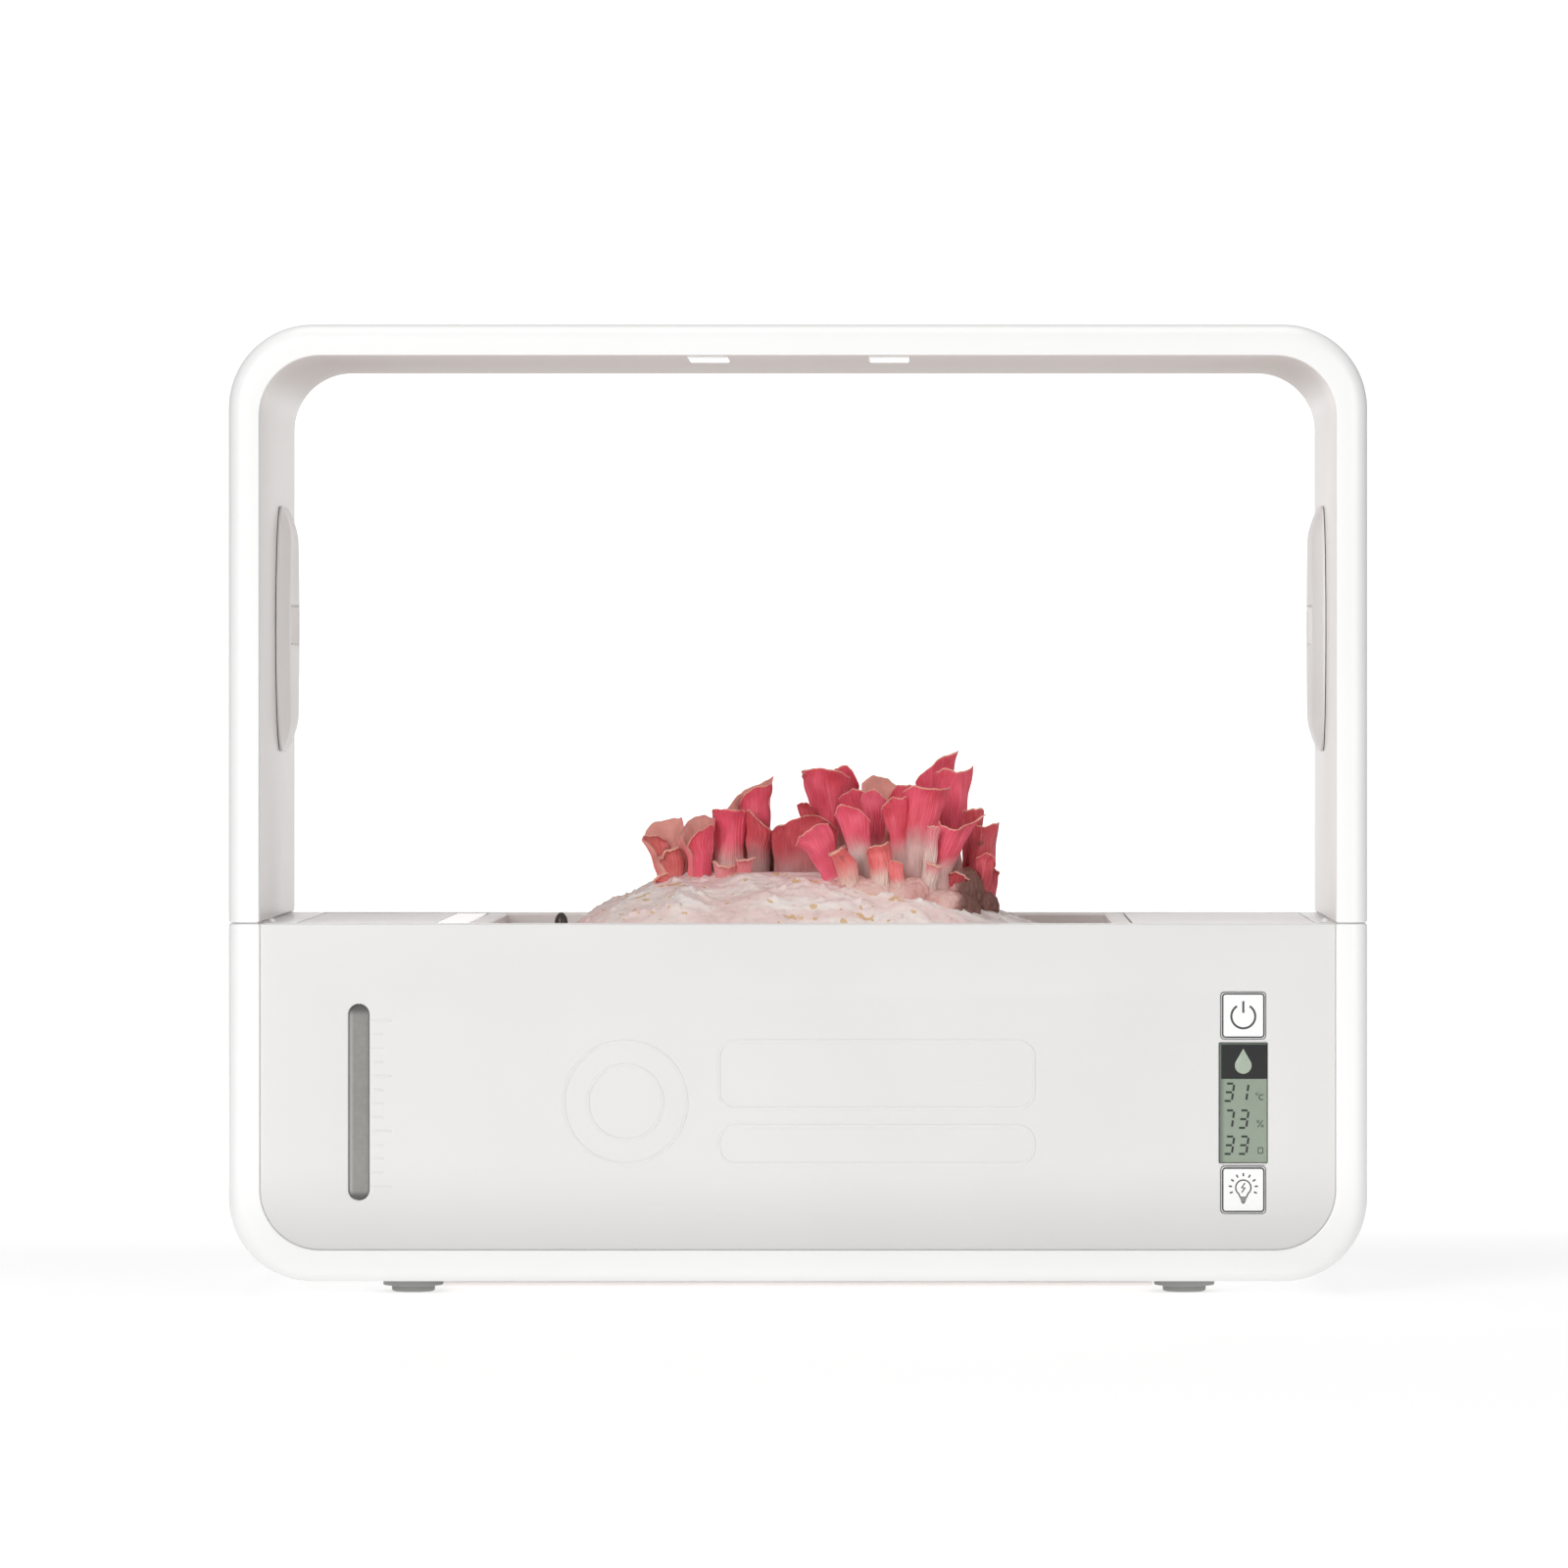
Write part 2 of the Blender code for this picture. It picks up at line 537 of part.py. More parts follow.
def mound_solid(bench, name, lift, material=None):
    """The block: a grid lifted to the mound's height, with walls down to a flat bottom."""
    left = STRIP_RIGHT + TRAY_RIM + SUBSTRATE_MARGIN
    right = TRAY_RIGHT - TRAY_RIM - SUBSTRATE_MARGIN
    half = DECK_DEPTH / 2 - TRAY_RIM - SUBSTRATE_MARGIN
    working = bmesh.new()
    bmesh.ops.create_grid(working, x_segments=SUBSTRATE_COLUMNS, y_segments=SUBSTRATE_ROWS,
                          size=0.5)
    for vertex in working.verts:
        x = left + (vertex.co.x + 0.5) * (right - left)
        y = vertex.co.y * 2 * half
        vertex.co = (x, y, mound_height(x, y) + lift)
    rim_edges = [edge for edge in working.edges if edge.is_boundary]
    walls = bmesh.ops.extrude_edge_only(working, edges=rim_edges)["geom"]
    for item in walls:
        if isinstance(item, bmesh.types.BMVert):
            item.co.z = TRAY_FLOOR + GAP
    loose_rim = [edge for edge in working.edges if edge.is_boundary]
    bmesh.ops.contextual_create(working, geom=loose_rim)
    return bench.from_bmesh(name, working, material)


def build_substrate(bench, pink):
    """The mounded block, with a well for the probe's stem."""
    block = mound_solid(bench, "substrate_block", 0.0, pink)
    well = bench.turned("probe_well", rod_profile(PROBE_WELL_RADIUS, REACH, -PROBE_WELL_LENGTH),
                        (PROBE_X, PROBE_Y, PROBE_SEAT), steps=10)
    boolean(block, well, "DIFFERENCE")
    shade_round(block, 50.0)


# ---------------------------------------------------------------- mushrooms
@dataclass(frozen=True)
class Cluster:
    """The knot of tissue that one cluster grows from: an ellipsoid sunk in the mound."""
    name: str
    centre: tuple
    radii: tuple

    def top(self, x, y):
        """Height of the knot's upper face, or of the mound outside it."""
        reach = 1.0 - ((x - self.centre[0]) / self.radii[0]) ** 2
        reach -= ((y - self.centre[1]) / self.radii[1]) ** 2
        knot = self.centre[2] + self.radii[2] * math.sqrt(max(0.0, reach))
        return max(knot if reach > 0.0 else 0.0, mound_height(x, y) + GAP)


@dataclass(frozen=True)
class Frond:
    """One mushroom: a cupped fan on a spine from its foot to its rim.

    foot and rim are (x, y) in millimetres, rim_height is the height of the rim's middle,
    width is across the rim, facing is the compass angle of the gilled side (0 is to the front,
    positive turns to +X), cup is half the arc of the cross section in degrees.
    """
    name: str
    foot: tuple
    rim: tuple
    rim_height: float
    width: float
    facing: float = 0.0
    cup: float = 62.0


def spine(start, bend, end, t):
    """Point and direction on the quadratic curve through start and end, pulled by bend."""
    point = start * (1 - t) ** 2 + bend * 2 * t * (1 - t) + end * t ** 2
    direction = (bend - start) * (1 - t) + (end - bend) * t
    return point, direction.normalized()


def frond_point(frond, foot_height, across, t):
    """Point of a frond's sheet; across runs from -1 to 1 and t from the foot to the rim."""
    start = Vector((frond.foot[0], frond.foot[1], 0.0)) / 1000.0
    start.z = foot_height
    end = Vector((frond.rim[0], frond.rim[1], frond.rim_height)) / 1000.0
    bend = start + Vector((0.0, 0.0, SPINE_RISE * (end.z - start.z)))
    centre, direction = spine(start, bend, end, t)
    turn = math.radians(frond.facing)
    outward = Vector((math.sin(turn), -math.cos(turn), 0.0))
    sideways = direction.cross(outward).normalized()
    outward = sideways.cross(direction).normalized()
    width = frond.width / 1000.0
    stem = STEM_SHARE * width + STEM_EXTRA
    half = stem + (width / 2 - stem) * t ** WIDENING_POWER
    cup = math.radians(frond.cup)
    radius = half / math.sin(cup)
    sweep = across * cup
    flare = FLARE_SHARE * width * t ** 3
    return (centre + sideways * radius * math.sin(sweep)
            - outward * radius * (1.0 - math.cos(sweep)) + outward * flare)


def build_frond(bench, frond, cluster, pink):
    """A closed shell: the frond's sheet on a coarse grid, thickened about its middle."""
    foot_height = cluster.top(frond.foot[0] / 1000.0, frond.foot[1] / 1000.0) + FROND_CLEARANCE
    working = bmesh.new()
    bmesh.ops.create_grid(working, x_segments=FROND_STEPS, y_segments=FROND_STEPS, size=1.0)
    for vertex in working.verts:
        vertex.co = frond_point(frond, foot_height, vertex.co.x, (vertex.co.y + 1.0) / 2.0)
    item = bench.from_bmesh(frond.name, working, pink)
    shell = item.modifiers.new("thickness", "SOLIDIFY")
    shell.thickness = FROND_THICKNESS
    shell.offset = 0.0
    item.data.shade_smooth()


def build_cluster(bench, cluster, fronds, stem_pink, pink):
    """A knot seated on the mound with its fronds standing on it."""
    working = bmesh.new()
    bmesh.ops.create_uvsphere(working, u_segments=16, v_segments=8, radius=1.0)
    bmesh.ops.scale(working, verts=working.verts, vec=cluster.radii)
    bmesh.ops.translate(working, verts=working.verts, vec=cluster.centre)
    knot = bench.from_bmesh(cluster.name, working, stem_pink)
    seat = mound_solid(bench, cluster.name + "_seat", GAP)
    boolean(knot, seat, "DIFFERENCE")
    shade_round(knot, 50.0)
    for frond in fronds:
        build_frond(bench, frond, cluster, pink)


LEFT_CLUSTER = Cluster("cluster_base_left", (-0.031, 0.000, 0.1460), (0.026, 0.024, 0.0120))
RIGHT_CLUSTER = Cluster("cluster_base_right", (0.037, -0.018, 0.1410), (0.034, 0.035, 0.0170))

LEFT_FRONDS = [
    Frond("mushroom_left_1", (-47, -6), (-53.5, -12), 173.8, 17.0, -20),
    Frond("mushroom_left_2", (-38, -14), (-39.1, -19), 175.4, 13.0, 0),
    Frond("mushroom_left_3", (-28, -8), (-27.3, -9), 178.5, 12.0, 0),
    Frond("mushroom_left_4", (-17.0, -7), (-15.4, -8), 177.5, 9.5, 5),
    Frond("mushroom_left_5", (-19, 4), (-17.4, 2), 188.5, 15.5, -4),
    Frond("mushroom_left_6", (-25, -18), (-24.0, -24), 160.5, 13.0, 0),
    Frond("mushroom_left_7", (-5, 5), (-4.0, 4), 167.5, 20.0, 0),
    Frond("mushroom_left_8", (-43, 6), (-47.0, 10), 170.0, 14.0, 205),
    Frond("mushroom_left_9", (-31, 14), (-30.0, 21), 175.0, 16.0, 180),
]

RIGHT_FRONDS = [
    Frond("mushroom_right_1", (12, -3), (8.8, -4), 193.5, 19.0, -4),
    Frond("mushroom_right_2", (18, 5), (16.0, 5), 194.8, 10.5, 0),
    Frond("mushroom_right_3", (6, -13), (2.8, -15), 176.0, 21.0, -8),
    Frond("mushroom_right_4", (13, -31), (4.5, -36), 171.0, 14.0, -12),
    Frond("mushroom_right_5", (18, -41), (13.4, -45), 164.3, 8.0, -6),
    Frond("mushroom_right_6", (23, -30), (18.6, -34), 181.5, 13.0, 0),
    Frond("mushroom_right_7", (23, -10), (19.6, -12), 185.8, 10.0, 0),
    Frond("mushroom_right_8", (29, -18), (27.5, -19), 186.0, 9.0, 0),
    Frond("mushroom_right_9", (28, -2), (30.0, 3), 191.5, 12.0, 180),
    Frond("mushroom_right_10", (36, -8), (38.0, -5), 188.0, 9.5, 180),
    Frond("mushroom_right_11", (35, -30), (34.2, -35), 183.2, 9.5, 0),
    Frond("mushroom_right_12", (45, -32), (48.2, -32), 188.6, 15.5, 0),
    Frond("mushroom_right_13", (49, -10), (51.8, -11), 198.0, 14.5, 4),
    Frond("mushroom_right_14", (55, -18), (58.5, -21), 193.8, 13.0, 10),
    Frond("mushroom_right_15", (31, -41), (29.2, -43), 166.4, 10.0, 0),
    Frond("mushroom_right_16", (50, -36), (60.3, -38), 177.0, 14.0, 8),
    Frond("mushroom_right_17", (66, -24), (70.0, -26), 172.8, 12.0, 24),
    Frond("mushroom_right_18", (47, -43), (50.6, -46), 166.0, 7.0, 4),
    Frond("mushroom_right_19", (23, 13), (20.0, 24), 183.0, 17.0, 180),
    Frond("mushroom_right_20", (44, 4), (46.0, 14), 186.0, 18.0, 175),
]


def build():
    """Build the whole kit."""
    clear_scene()
    bench = Bench()
    white = principled("rim_white", WHITE, 0.35)
    satin = principled("panel_satin_white", SATIN_WHITE, 0.45)
    lid_grey = principled("lid_pale_grey", PALE_GREY, 0.45)
    strip_grey = principled("strip_warm_grey", WARM_GREY, 0.5)
    rubber = principled("foot_rubber", RUBBER_GREY, 0.7)
    dark = principled("dark_plastic", DARK, 0.4)
    glass = principled("level_glass", GLASS_GREY, 0.2)
    green = principled("display_green", DISPLAY_GREEN, 0.25)
    substrate_pink = principled("substrate_film", SUBSTRATE_PINK, 0.4)
    stem_pink = principled("stem_tissue", STEM_PINK, 0.6)
    cap_pink = principled("cap_tissue", CAP_PINK, 0.55)
    inlet_hole = build_base(bench, white)
    build_hood(bench, white)
    build_panels(bench, satin, inlet_hole)
    build_controls(bench, glass, green, white)
    build_underside(bench, rubber, strip_grey)
    build_inlet(bench, dark)
    build_side_covers(bench, lid_grey)
    build_lenses(bench, white)
    build_deck(bench, lid_grey, strip_grey, white)
    build_tray(bench, lid_grey)
    build_probe(bench, dark)
    build_substrate(bench, substrate_pink)
    build_cluster(bench, LEFT_CLUSTER, LEFT_FRONDS, stem_pink, cap_pink)
    build_cluster(bench, RIGHT_CLUSTER, RIGHT_FRONDS, stem_pink, cap_pink)


build()
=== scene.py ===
"""Looks of a countertop oyster mushroom grow kit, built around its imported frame.

Metres, +Z up, the front faces -Y. Housing skins are profiles carried along outlines, mushrooms are
cupped sheets carried along bent spines, and every finish is a small node board of its own.
"""
import logging
import math
from dataclasses import dataclass, field
from enum import Enum
from typing import Any, Dict, List, Optional, Sequence, Tuple

import bpy
import bmesh
import numpy as np
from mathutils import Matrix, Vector


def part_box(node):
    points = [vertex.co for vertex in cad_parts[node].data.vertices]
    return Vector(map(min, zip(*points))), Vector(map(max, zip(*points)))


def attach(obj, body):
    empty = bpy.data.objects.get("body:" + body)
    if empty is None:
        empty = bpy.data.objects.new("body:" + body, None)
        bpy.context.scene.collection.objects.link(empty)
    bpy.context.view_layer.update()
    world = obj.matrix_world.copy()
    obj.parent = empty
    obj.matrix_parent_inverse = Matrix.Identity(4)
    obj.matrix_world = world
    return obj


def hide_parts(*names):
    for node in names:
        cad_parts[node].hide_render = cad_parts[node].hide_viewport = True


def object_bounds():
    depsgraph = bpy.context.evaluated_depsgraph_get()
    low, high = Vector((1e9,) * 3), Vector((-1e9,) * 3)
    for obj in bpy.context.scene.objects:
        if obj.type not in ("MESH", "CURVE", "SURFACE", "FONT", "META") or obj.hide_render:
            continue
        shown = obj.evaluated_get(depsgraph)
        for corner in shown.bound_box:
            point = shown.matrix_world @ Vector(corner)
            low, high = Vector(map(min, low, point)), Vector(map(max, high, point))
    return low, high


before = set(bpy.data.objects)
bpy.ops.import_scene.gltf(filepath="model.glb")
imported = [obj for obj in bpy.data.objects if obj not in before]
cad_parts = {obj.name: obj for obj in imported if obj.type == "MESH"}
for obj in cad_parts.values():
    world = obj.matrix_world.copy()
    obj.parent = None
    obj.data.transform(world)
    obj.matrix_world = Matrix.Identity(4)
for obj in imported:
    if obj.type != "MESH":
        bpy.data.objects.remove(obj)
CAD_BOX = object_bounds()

LOG = logging.getLogger("grow_kit")
MM = 0.001
GAP = 0.0003                 # clearance between neighbouring pieces
OUTER_RADIUS = 0.031         # outer corners of the rim, seen from the front
INNER_RADIUS = 0.0224        # corners of the opening and of the panels
SUNK = 0.00005               # how far raised marks reach into the wall behind them
AXIS = 0.00002               # radius left at the poles of turned pieces
PROBE_HEAD = 0.0042          # height of the probe's dome
TUCK = 0.002                 # how far the tub's hidden walls run into the rim
COVER_FOOT = 0.0008          # thickness of a side cover at its border
SLOT_FLOOR = 0.0012          # thickness left in a side cover's slot
SLOT_MARGIN = 0.0148         # distance of the slot's ends from the cover's front and back
RIM_THICKNESS = 0.75         # millimetres of flesh near a sheet's rim
FLUTE_HEIGHT = 0.10          # millimetres that a sheet's fine flutes stand out
RIM_LEAN = 0.10              # share of a sheet's width by which its rim leans out
INK_HEIGHT = 0.00004         # lay of printed symbols
SEGMENT_HEIGHT = 0.00003     # lay of the display's segments
FLESH_SHARP = 80.0           # degrees over which an edge of the flesh stays crisp
Colour = Tuple[float, float, float]
Place = Tuple[float, float, float]
Box = Tuple[np.ndarray, np.ndarray]
Finishes = Dict[Tuple[Any, ...], bpy.types.Material]


# ------------------------------------------------------------------------------ shader boards
class Signal:
    """An output socket whose arithmetic adds Math nodes to its board."""

    def __init__(self, board: "Board", socket: Any) -> None:
        """Keep the board that the socket belongs to."""
        self.board = board
        self.socket = socket

    def math(self, operation: str, *others: Any) -> "Signal":
        """Apply a Math operation to this value and up to two others."""
        terms = dict(enumerate((self, *others)))
        return self.board.node("ShaderNodeMath", {"operation": operation}, terms)

    def __add__(self, other: Any) -> "Signal":
        """Sum."""
        return self.math("ADD", other)

    __radd__ = __add__

    def __sub__(self, other: Any) -> "Signal":
        """Difference."""
        return self.math("SUBTRACT", other)

    def __rsub__(self, other: Any) -> "Signal":
        """Reflected difference, such as 1 - mask."""
        return self.board.node("ShaderNodeMath", {"operation": "SUBTRACT"}, {0: other, 1: self})

    def __mul__(self, other: Any) -> "Signal":
        """Product."""
        return self.math("MULTIPLY", other)

    __rmul__ = __mul__

    def __pow__(self, other: Any) -> "Signal":
        """Power."""
        return self.math("POWER", other)

    def sine(self) -> "Signal":
        """Sine of the value in radians."""
        return self.math("SINE")

    def most(self, other: Any) -> "Signal":
        """The larger of two values."""
        return self.math("MAXIMUM", other)

    def step(self, low: float, high: float) -> "Signal":
        """Smooth rise from 0 at low to 1 at high; a high below low makes it fall."""
        settings = {"interpolation_type": "SMOOTHSTEP"}
        if high >= low:
            return self.board.node("ShaderNodeMapRange", settings, {0: self, 1: low, 2: high})
        return 1.0 - self.board.node("ShaderNodeMapRange", settings, {0: self, 1: high, 2: low})


class Board:
    """The node tree of one finish."""

    def __init__(self, name: str) -> None:
        """Start a material with only its output and a Principled shader."""
        self.material = bpy.data.materials.new(name)
        self.material.use_nodes = True
        self.nodes = self.material.node_tree.nodes
        self.links = self.material.node_tree.links
        self.shader = self.nodes["Principled BSDF"]

    def feed(self, socket: Any, value: Any) -> None:
        """Link a signal to a socket, or set its constant."""
        if isinstance(value, Signal):
            self.links.new(value.socket, socket)
        elif isinstance(value, tuple) and len(value) == 3 and socket.type == "RGBA":
            socket.default_value = (*value, 1.0)
        else:
            socket.default_value = value

    def node(self, kind: str, settings: Dict[str, Any], inputs: Dict[Any, Any],
             output: Any = 0) -> Signal:
        """Add any node.

        Args:
            kind: the node's type.
            settings: its own settings.
            inputs: values or signals by socket name or number.
            output: name or number of the output wanted.

        Returns:
            The chosen output.
        """
        made = self.nodes.new(kind)
        for key, value in settings.items():
            setattr(made, key, value)
        for key, value in inputs.items():
            self.feed(made.inputs[key], value)
        return Signal(self, made.outputs[output])

    def place(self) -> Signal:
        """Object coordinates, in metres from the object's origin."""
        return self.node("ShaderNodeTexCoord", {}, {}, "Object")

    def axes(self, vector: Signal) -> Tuple[Signal, Signal, Signal]:
        """The three components of a vector."""
        split = self.node("ShaderNodeSeparateXYZ", {}, {0: vector})
        outputs = split.socket.node.outputs
        return tuple(Signal(self, outputs[i]) for i in range(3))

    def vector(self, x: Any, y: Any, z: Any = 0.0) -> Signal:
        """A vector from three values."""
        return self.node("ShaderNodeCombineXYZ", {}, {0: x, 1: y, 2: z})

    def noise(self, vector: Signal, scale: float, detail: float = 3.0,
              roughness: float = 0.55, distortion: float = 0.0) -> Signal:
        """Fractal noise between 0 and 1 with features about 1/scale metres across."""
        return self.node("ShaderNodeTexNoise", {}, {"Vector": vector, "Scale": scale,
                                                     "Detail": detail, "Roughness": roughness,
                                                     "Distortion": distortion})

    def cells(self, vector: Signal, scale: float) -> Signal:
        """Distance to the nearest of scattered points, in cells of 1/scale metres."""
        return self.node("ShaderNodeTexVoronoi", {}, {"Vector": vector, "Scale": scale})

    def blend(self, factor: Any, first: Any, second: Any) -> Signal:
        """Mix two colours."""
        made = self.nodes.new("ShaderNodeMix")
        made.data_type = "RGBA"
        for socket, value in zip((made.inputs[0], made.inputs[6], made.inputs[7]),
                                 (factor, first, second)):
            self.feed(socket, value)
        return Signal(self, made.outputs[2])

    def bump(self, height: Signal, strength: float, distance: float) -> None:
        """Feed the shader's normal from a height."""
        normal = self.node("ShaderNodeBump", {}, {"Strength": strength, "Distance": distance,
                                                   "Height": height})
        self.links.new(normal.socket, self.shader.inputs["Normal"])

    def finish(self, **sockets: Any) -> bpy.types.Material:
        """Set the Principled sockets, named with underscores for spaces, and return the material."""
        for key, value in sockets.items():
            self.feed(self.shader.inputs[key.replace("_", " ")], value)
        return self.material


# ------------------------------------------------------------------------------ finishes
@dataclass(frozen=True)
class Moulding:
    """Moulded plastic: a faint cloudiness, varying gloss and a fine spark-eroded grain, with optional
    painted shade on inner faces, at the top of the opening and low down.
    """

    name: str
    colour: Colour
    shade: Colour
    roughness: float = 0.38
    grain: float = 2600.0
    grain_depth: float = 0.00002
    coat: float = 0.0
    # Painted shade: a darker colour for the inner faces, one for the top of the opening, and how far the
    # low part is darkened.
    inside: Optional[Colour] = None
    painted_roof_shade: Optional[Colour] = None
    low_shade: float = 0.0

    def build(self) -> bpy.types.Material:
        """Make the material."""
        board = Board(self.name)
        place = board.place()
        cloud = board.noise(place, 14.0, 2.0)
        speck = board.noise(place, self.grain, 2.0)
        colour = board.blend(cloud.step(0.35, 0.75), self.colour, self.shade)
        coat, roughness = self.coat, self.roughness
        if self.inside is not None:
            # Painted shade on the hood's inner faces: darker than the outside, lighter towards the right
            # wall as painted light, and darker again at the top of the opening.
            side = board.node("ShaderNodeAttribute", {"attribute_name": "inner_side"}, {}, "Fac")
            x, _, z = board.axes(place)
            painted_inner_shade = board.blend(x.step(-0.19, 0.19), self.inside,
                                 tuple(min(0.93, 1.24 * part) for part in self.inside))
            roof_shade_mask = z.step(0.330, 0.3455)
            colour = board.blend(side, colour, board.blend(roof_shade_mask, painted_inner_shade, self.painted_roof_shade))
            coat = self.coat * (1.0 - side * roof_shade_mask)
            roughness = self.roughness + 0.45 * side * roof_shade_mask
        # Painted shade: darker towards the bottom.
        if self.low_shade:
            _, _, z = board.axes(place)
            colour = board.blend(z.step(0.052, 0.010) * self.low_shade, colour, (0.0, 0.0, 0.0))
        board.bump(speck, 0.35, self.grain_depth)
        return board.finish(Base_Color=colour, Coat_Weight=coat,
                            Roughness=roughness + 0.10 * (cloud - 0.5) + 0.06 * speck)


@dataclass(frozen=True)
class LevelGlass:
    """Smoked window over the water gauge, with painted shade at its deep ends and a painted highlight along
    its left wall.
    """

    name: str
    low: float
    high: float
    left: float

    def build(self) -> bpy.types.Material:
        """Make the material."""
        board = Board(self.name)
        x, _, z = board.axes(board.place())
        # Painted shade at both ends of the window.
        ends = (z - self.high).step(-0.0045, -0.0012).most((z - self.low).step(0.0034, 0.0010))
        # Painted light along the left wall.
        edge = (x - self.left).step(0.0018, 0.0004)
        haze = board.noise(board.place(), 420.0, 3.0)
        body = board.blend(haze.step(0.3, 0.8), (0.262, 0.255, 0.241), (0.292, 0.285, 0.272))
        lit = board.blend(edge, body, (0.42, 0.41, 0.395))
        return board.finish(Base_Color=board.blend(ends, lit, (0.10, 0.095, 0.09)),
                            Roughness=0.16 + 0.1 * haze, Coat_Weight=0.4)


@dataclass(frozen=True)
class DisplayFace:
    """Segment display: grey-green field, dark picture block on top, shadow under the bezel."""

    name: str
    high: float
    left: float
    block_low: float

    def build(self) -> bpy.types.Material:
        """Make the material."""
        board = Board(self.name)
        place = board.place()
        x, _, z = board.axes(place)
        block = z.step(self.block_low - 0.00015, self.block_low + 0.00015)
        block = block * x.step(self.left + 0.0004, self.left + 0.0007)
        block = block * z.step(self.high - 0.0003, self.high - 0.0006)
        cast = x.step(self.left + 0.0022, self.left).most(z.step(self.high - 0.0024, self.high))
        sheen = board.noise(place, 120.0, 2.0)
        field_colour = board.blend(sheen, (0.245, 0.300, 0.232), (0.310, 0.365, 0.290))
        field_colour = board.blend(cast * 0.75, field_colour, (0.10, 0.12, 0.10))
        return board.finish(Base_Color=board.blend(block, field_colour, (0.012, 0.013, 0.012)),
                            Roughness=0.22 + 0.08 * sheen, Coat_Weight=0.5)


@dataclass(frozen=True)
class Ink:
    """Printed ink or a display segment: nearly black with a slightly uneven lay."""

    name: str
    colour: Colour
    roughness: float = 0.45

    def build(self) -> bpy.types.Material:
        """Make the material."""
        board = Board(self.name)
        lay = board.noise(board.place(), 3000.0, 2.0)
        lighter = tuple(1.35 * part + 0.004 for part in self.colour)
        return board.finish(Base_Color=board.blend(lay, self.colour, lighter),
                            Roughness=self.roughness + 0.1 * lay)


@dataclass(frozen=True)
class Mycelium:
    """Colonised block under a wrinkled clear film: pale rose with ochre and mauve flecks, and painted shade
    at its right end and low down by the tray's walls.
    """

    name: str

    def build(self) -> bpy.types.Material:
        """Make the material."""
        board = Board(self.name)
        place = board.place()
        x, y, z = board.axes(place)
        stretched = board.vector(x * 0.55, y * 0.8, z)
        patch = board.noise(stretched, 46.0, 5.0, 0.62, 0.6)
        fleck = board.noise(place, 210.0, 4.0, 0.6)
        grain = board.noise(place, 1500.0, 3.0, 0.6)
        colour = board.blend(patch.step(0.36, 0.60), (0.880, 0.680, 0.645), (0.955, 0.880, 0.845))
        rose = board.noise(stretched, 30.0, 3.0, 0.5, 0.3).step(0.52, 0.68)
        rose = rose.most(0.55 * z.step(0.146, 0.154))
        colour = board.blend(rose * 0.60, colour, (0.860, 0.560, 0.560))
        mauve = board.noise(place, 82.0, 5.0, 0.66).step(0.54, 0.66)
        colour = board.blend(mauve * 0.36, colour, (0.540, 0.415, 0.420))
        mottle = board.noise(place, 420.0, 3.0, 0.6).step(0.50, 0.68)
        colour = board.blend(mottle * 0.20, colour, (0.600, 0.460, 0.430))
        ochre = board.noise(place, 230.0, 2.0, 0.4).step(0.642, 0.69)
        colour = board.blend(ochre * 0.80, colour, (0.720, 0.440, 0.160))
        straw = (1.0 - board.cells(board.vector(x, y * 0.45, z * 0.7), 150.0)).step(0.84, 0.93)
        colour = board.blend(straw * fleck.step(0.5, 0.6) * 0.7, colour, (0.52, 0.34, 0.20))
        # Painted shade: grey-mauve towards the right end.
        end = x.step(0.052, 0.092)
        colour = board.blend(end * 0.55, colour, (0.455, 0.410, 0.410))
        # Painted shade: darker low down inside the tray.
        wall = z.step(0.132, 0.122)
        colour = board.blend(wall * 0.65, colour, (0.40, 0.31, 0.29))
        board.bump(0.6 * fleck + 0.4 * grain, 0.5, 0.0004)
        return board.finish(Base_Color=colour, Roughness=0.42 + 0.30 * fleck,
                            Coat_Weight=0.25 + 0.35 * patch.step(0.5, 0.6),
                            Coat_Roughness=0.22, Subsurface_Weight=0.12,
                            Subsurface_Radius=(0.9, 0.45, 0.35), Subsurface_Scale=0.003)


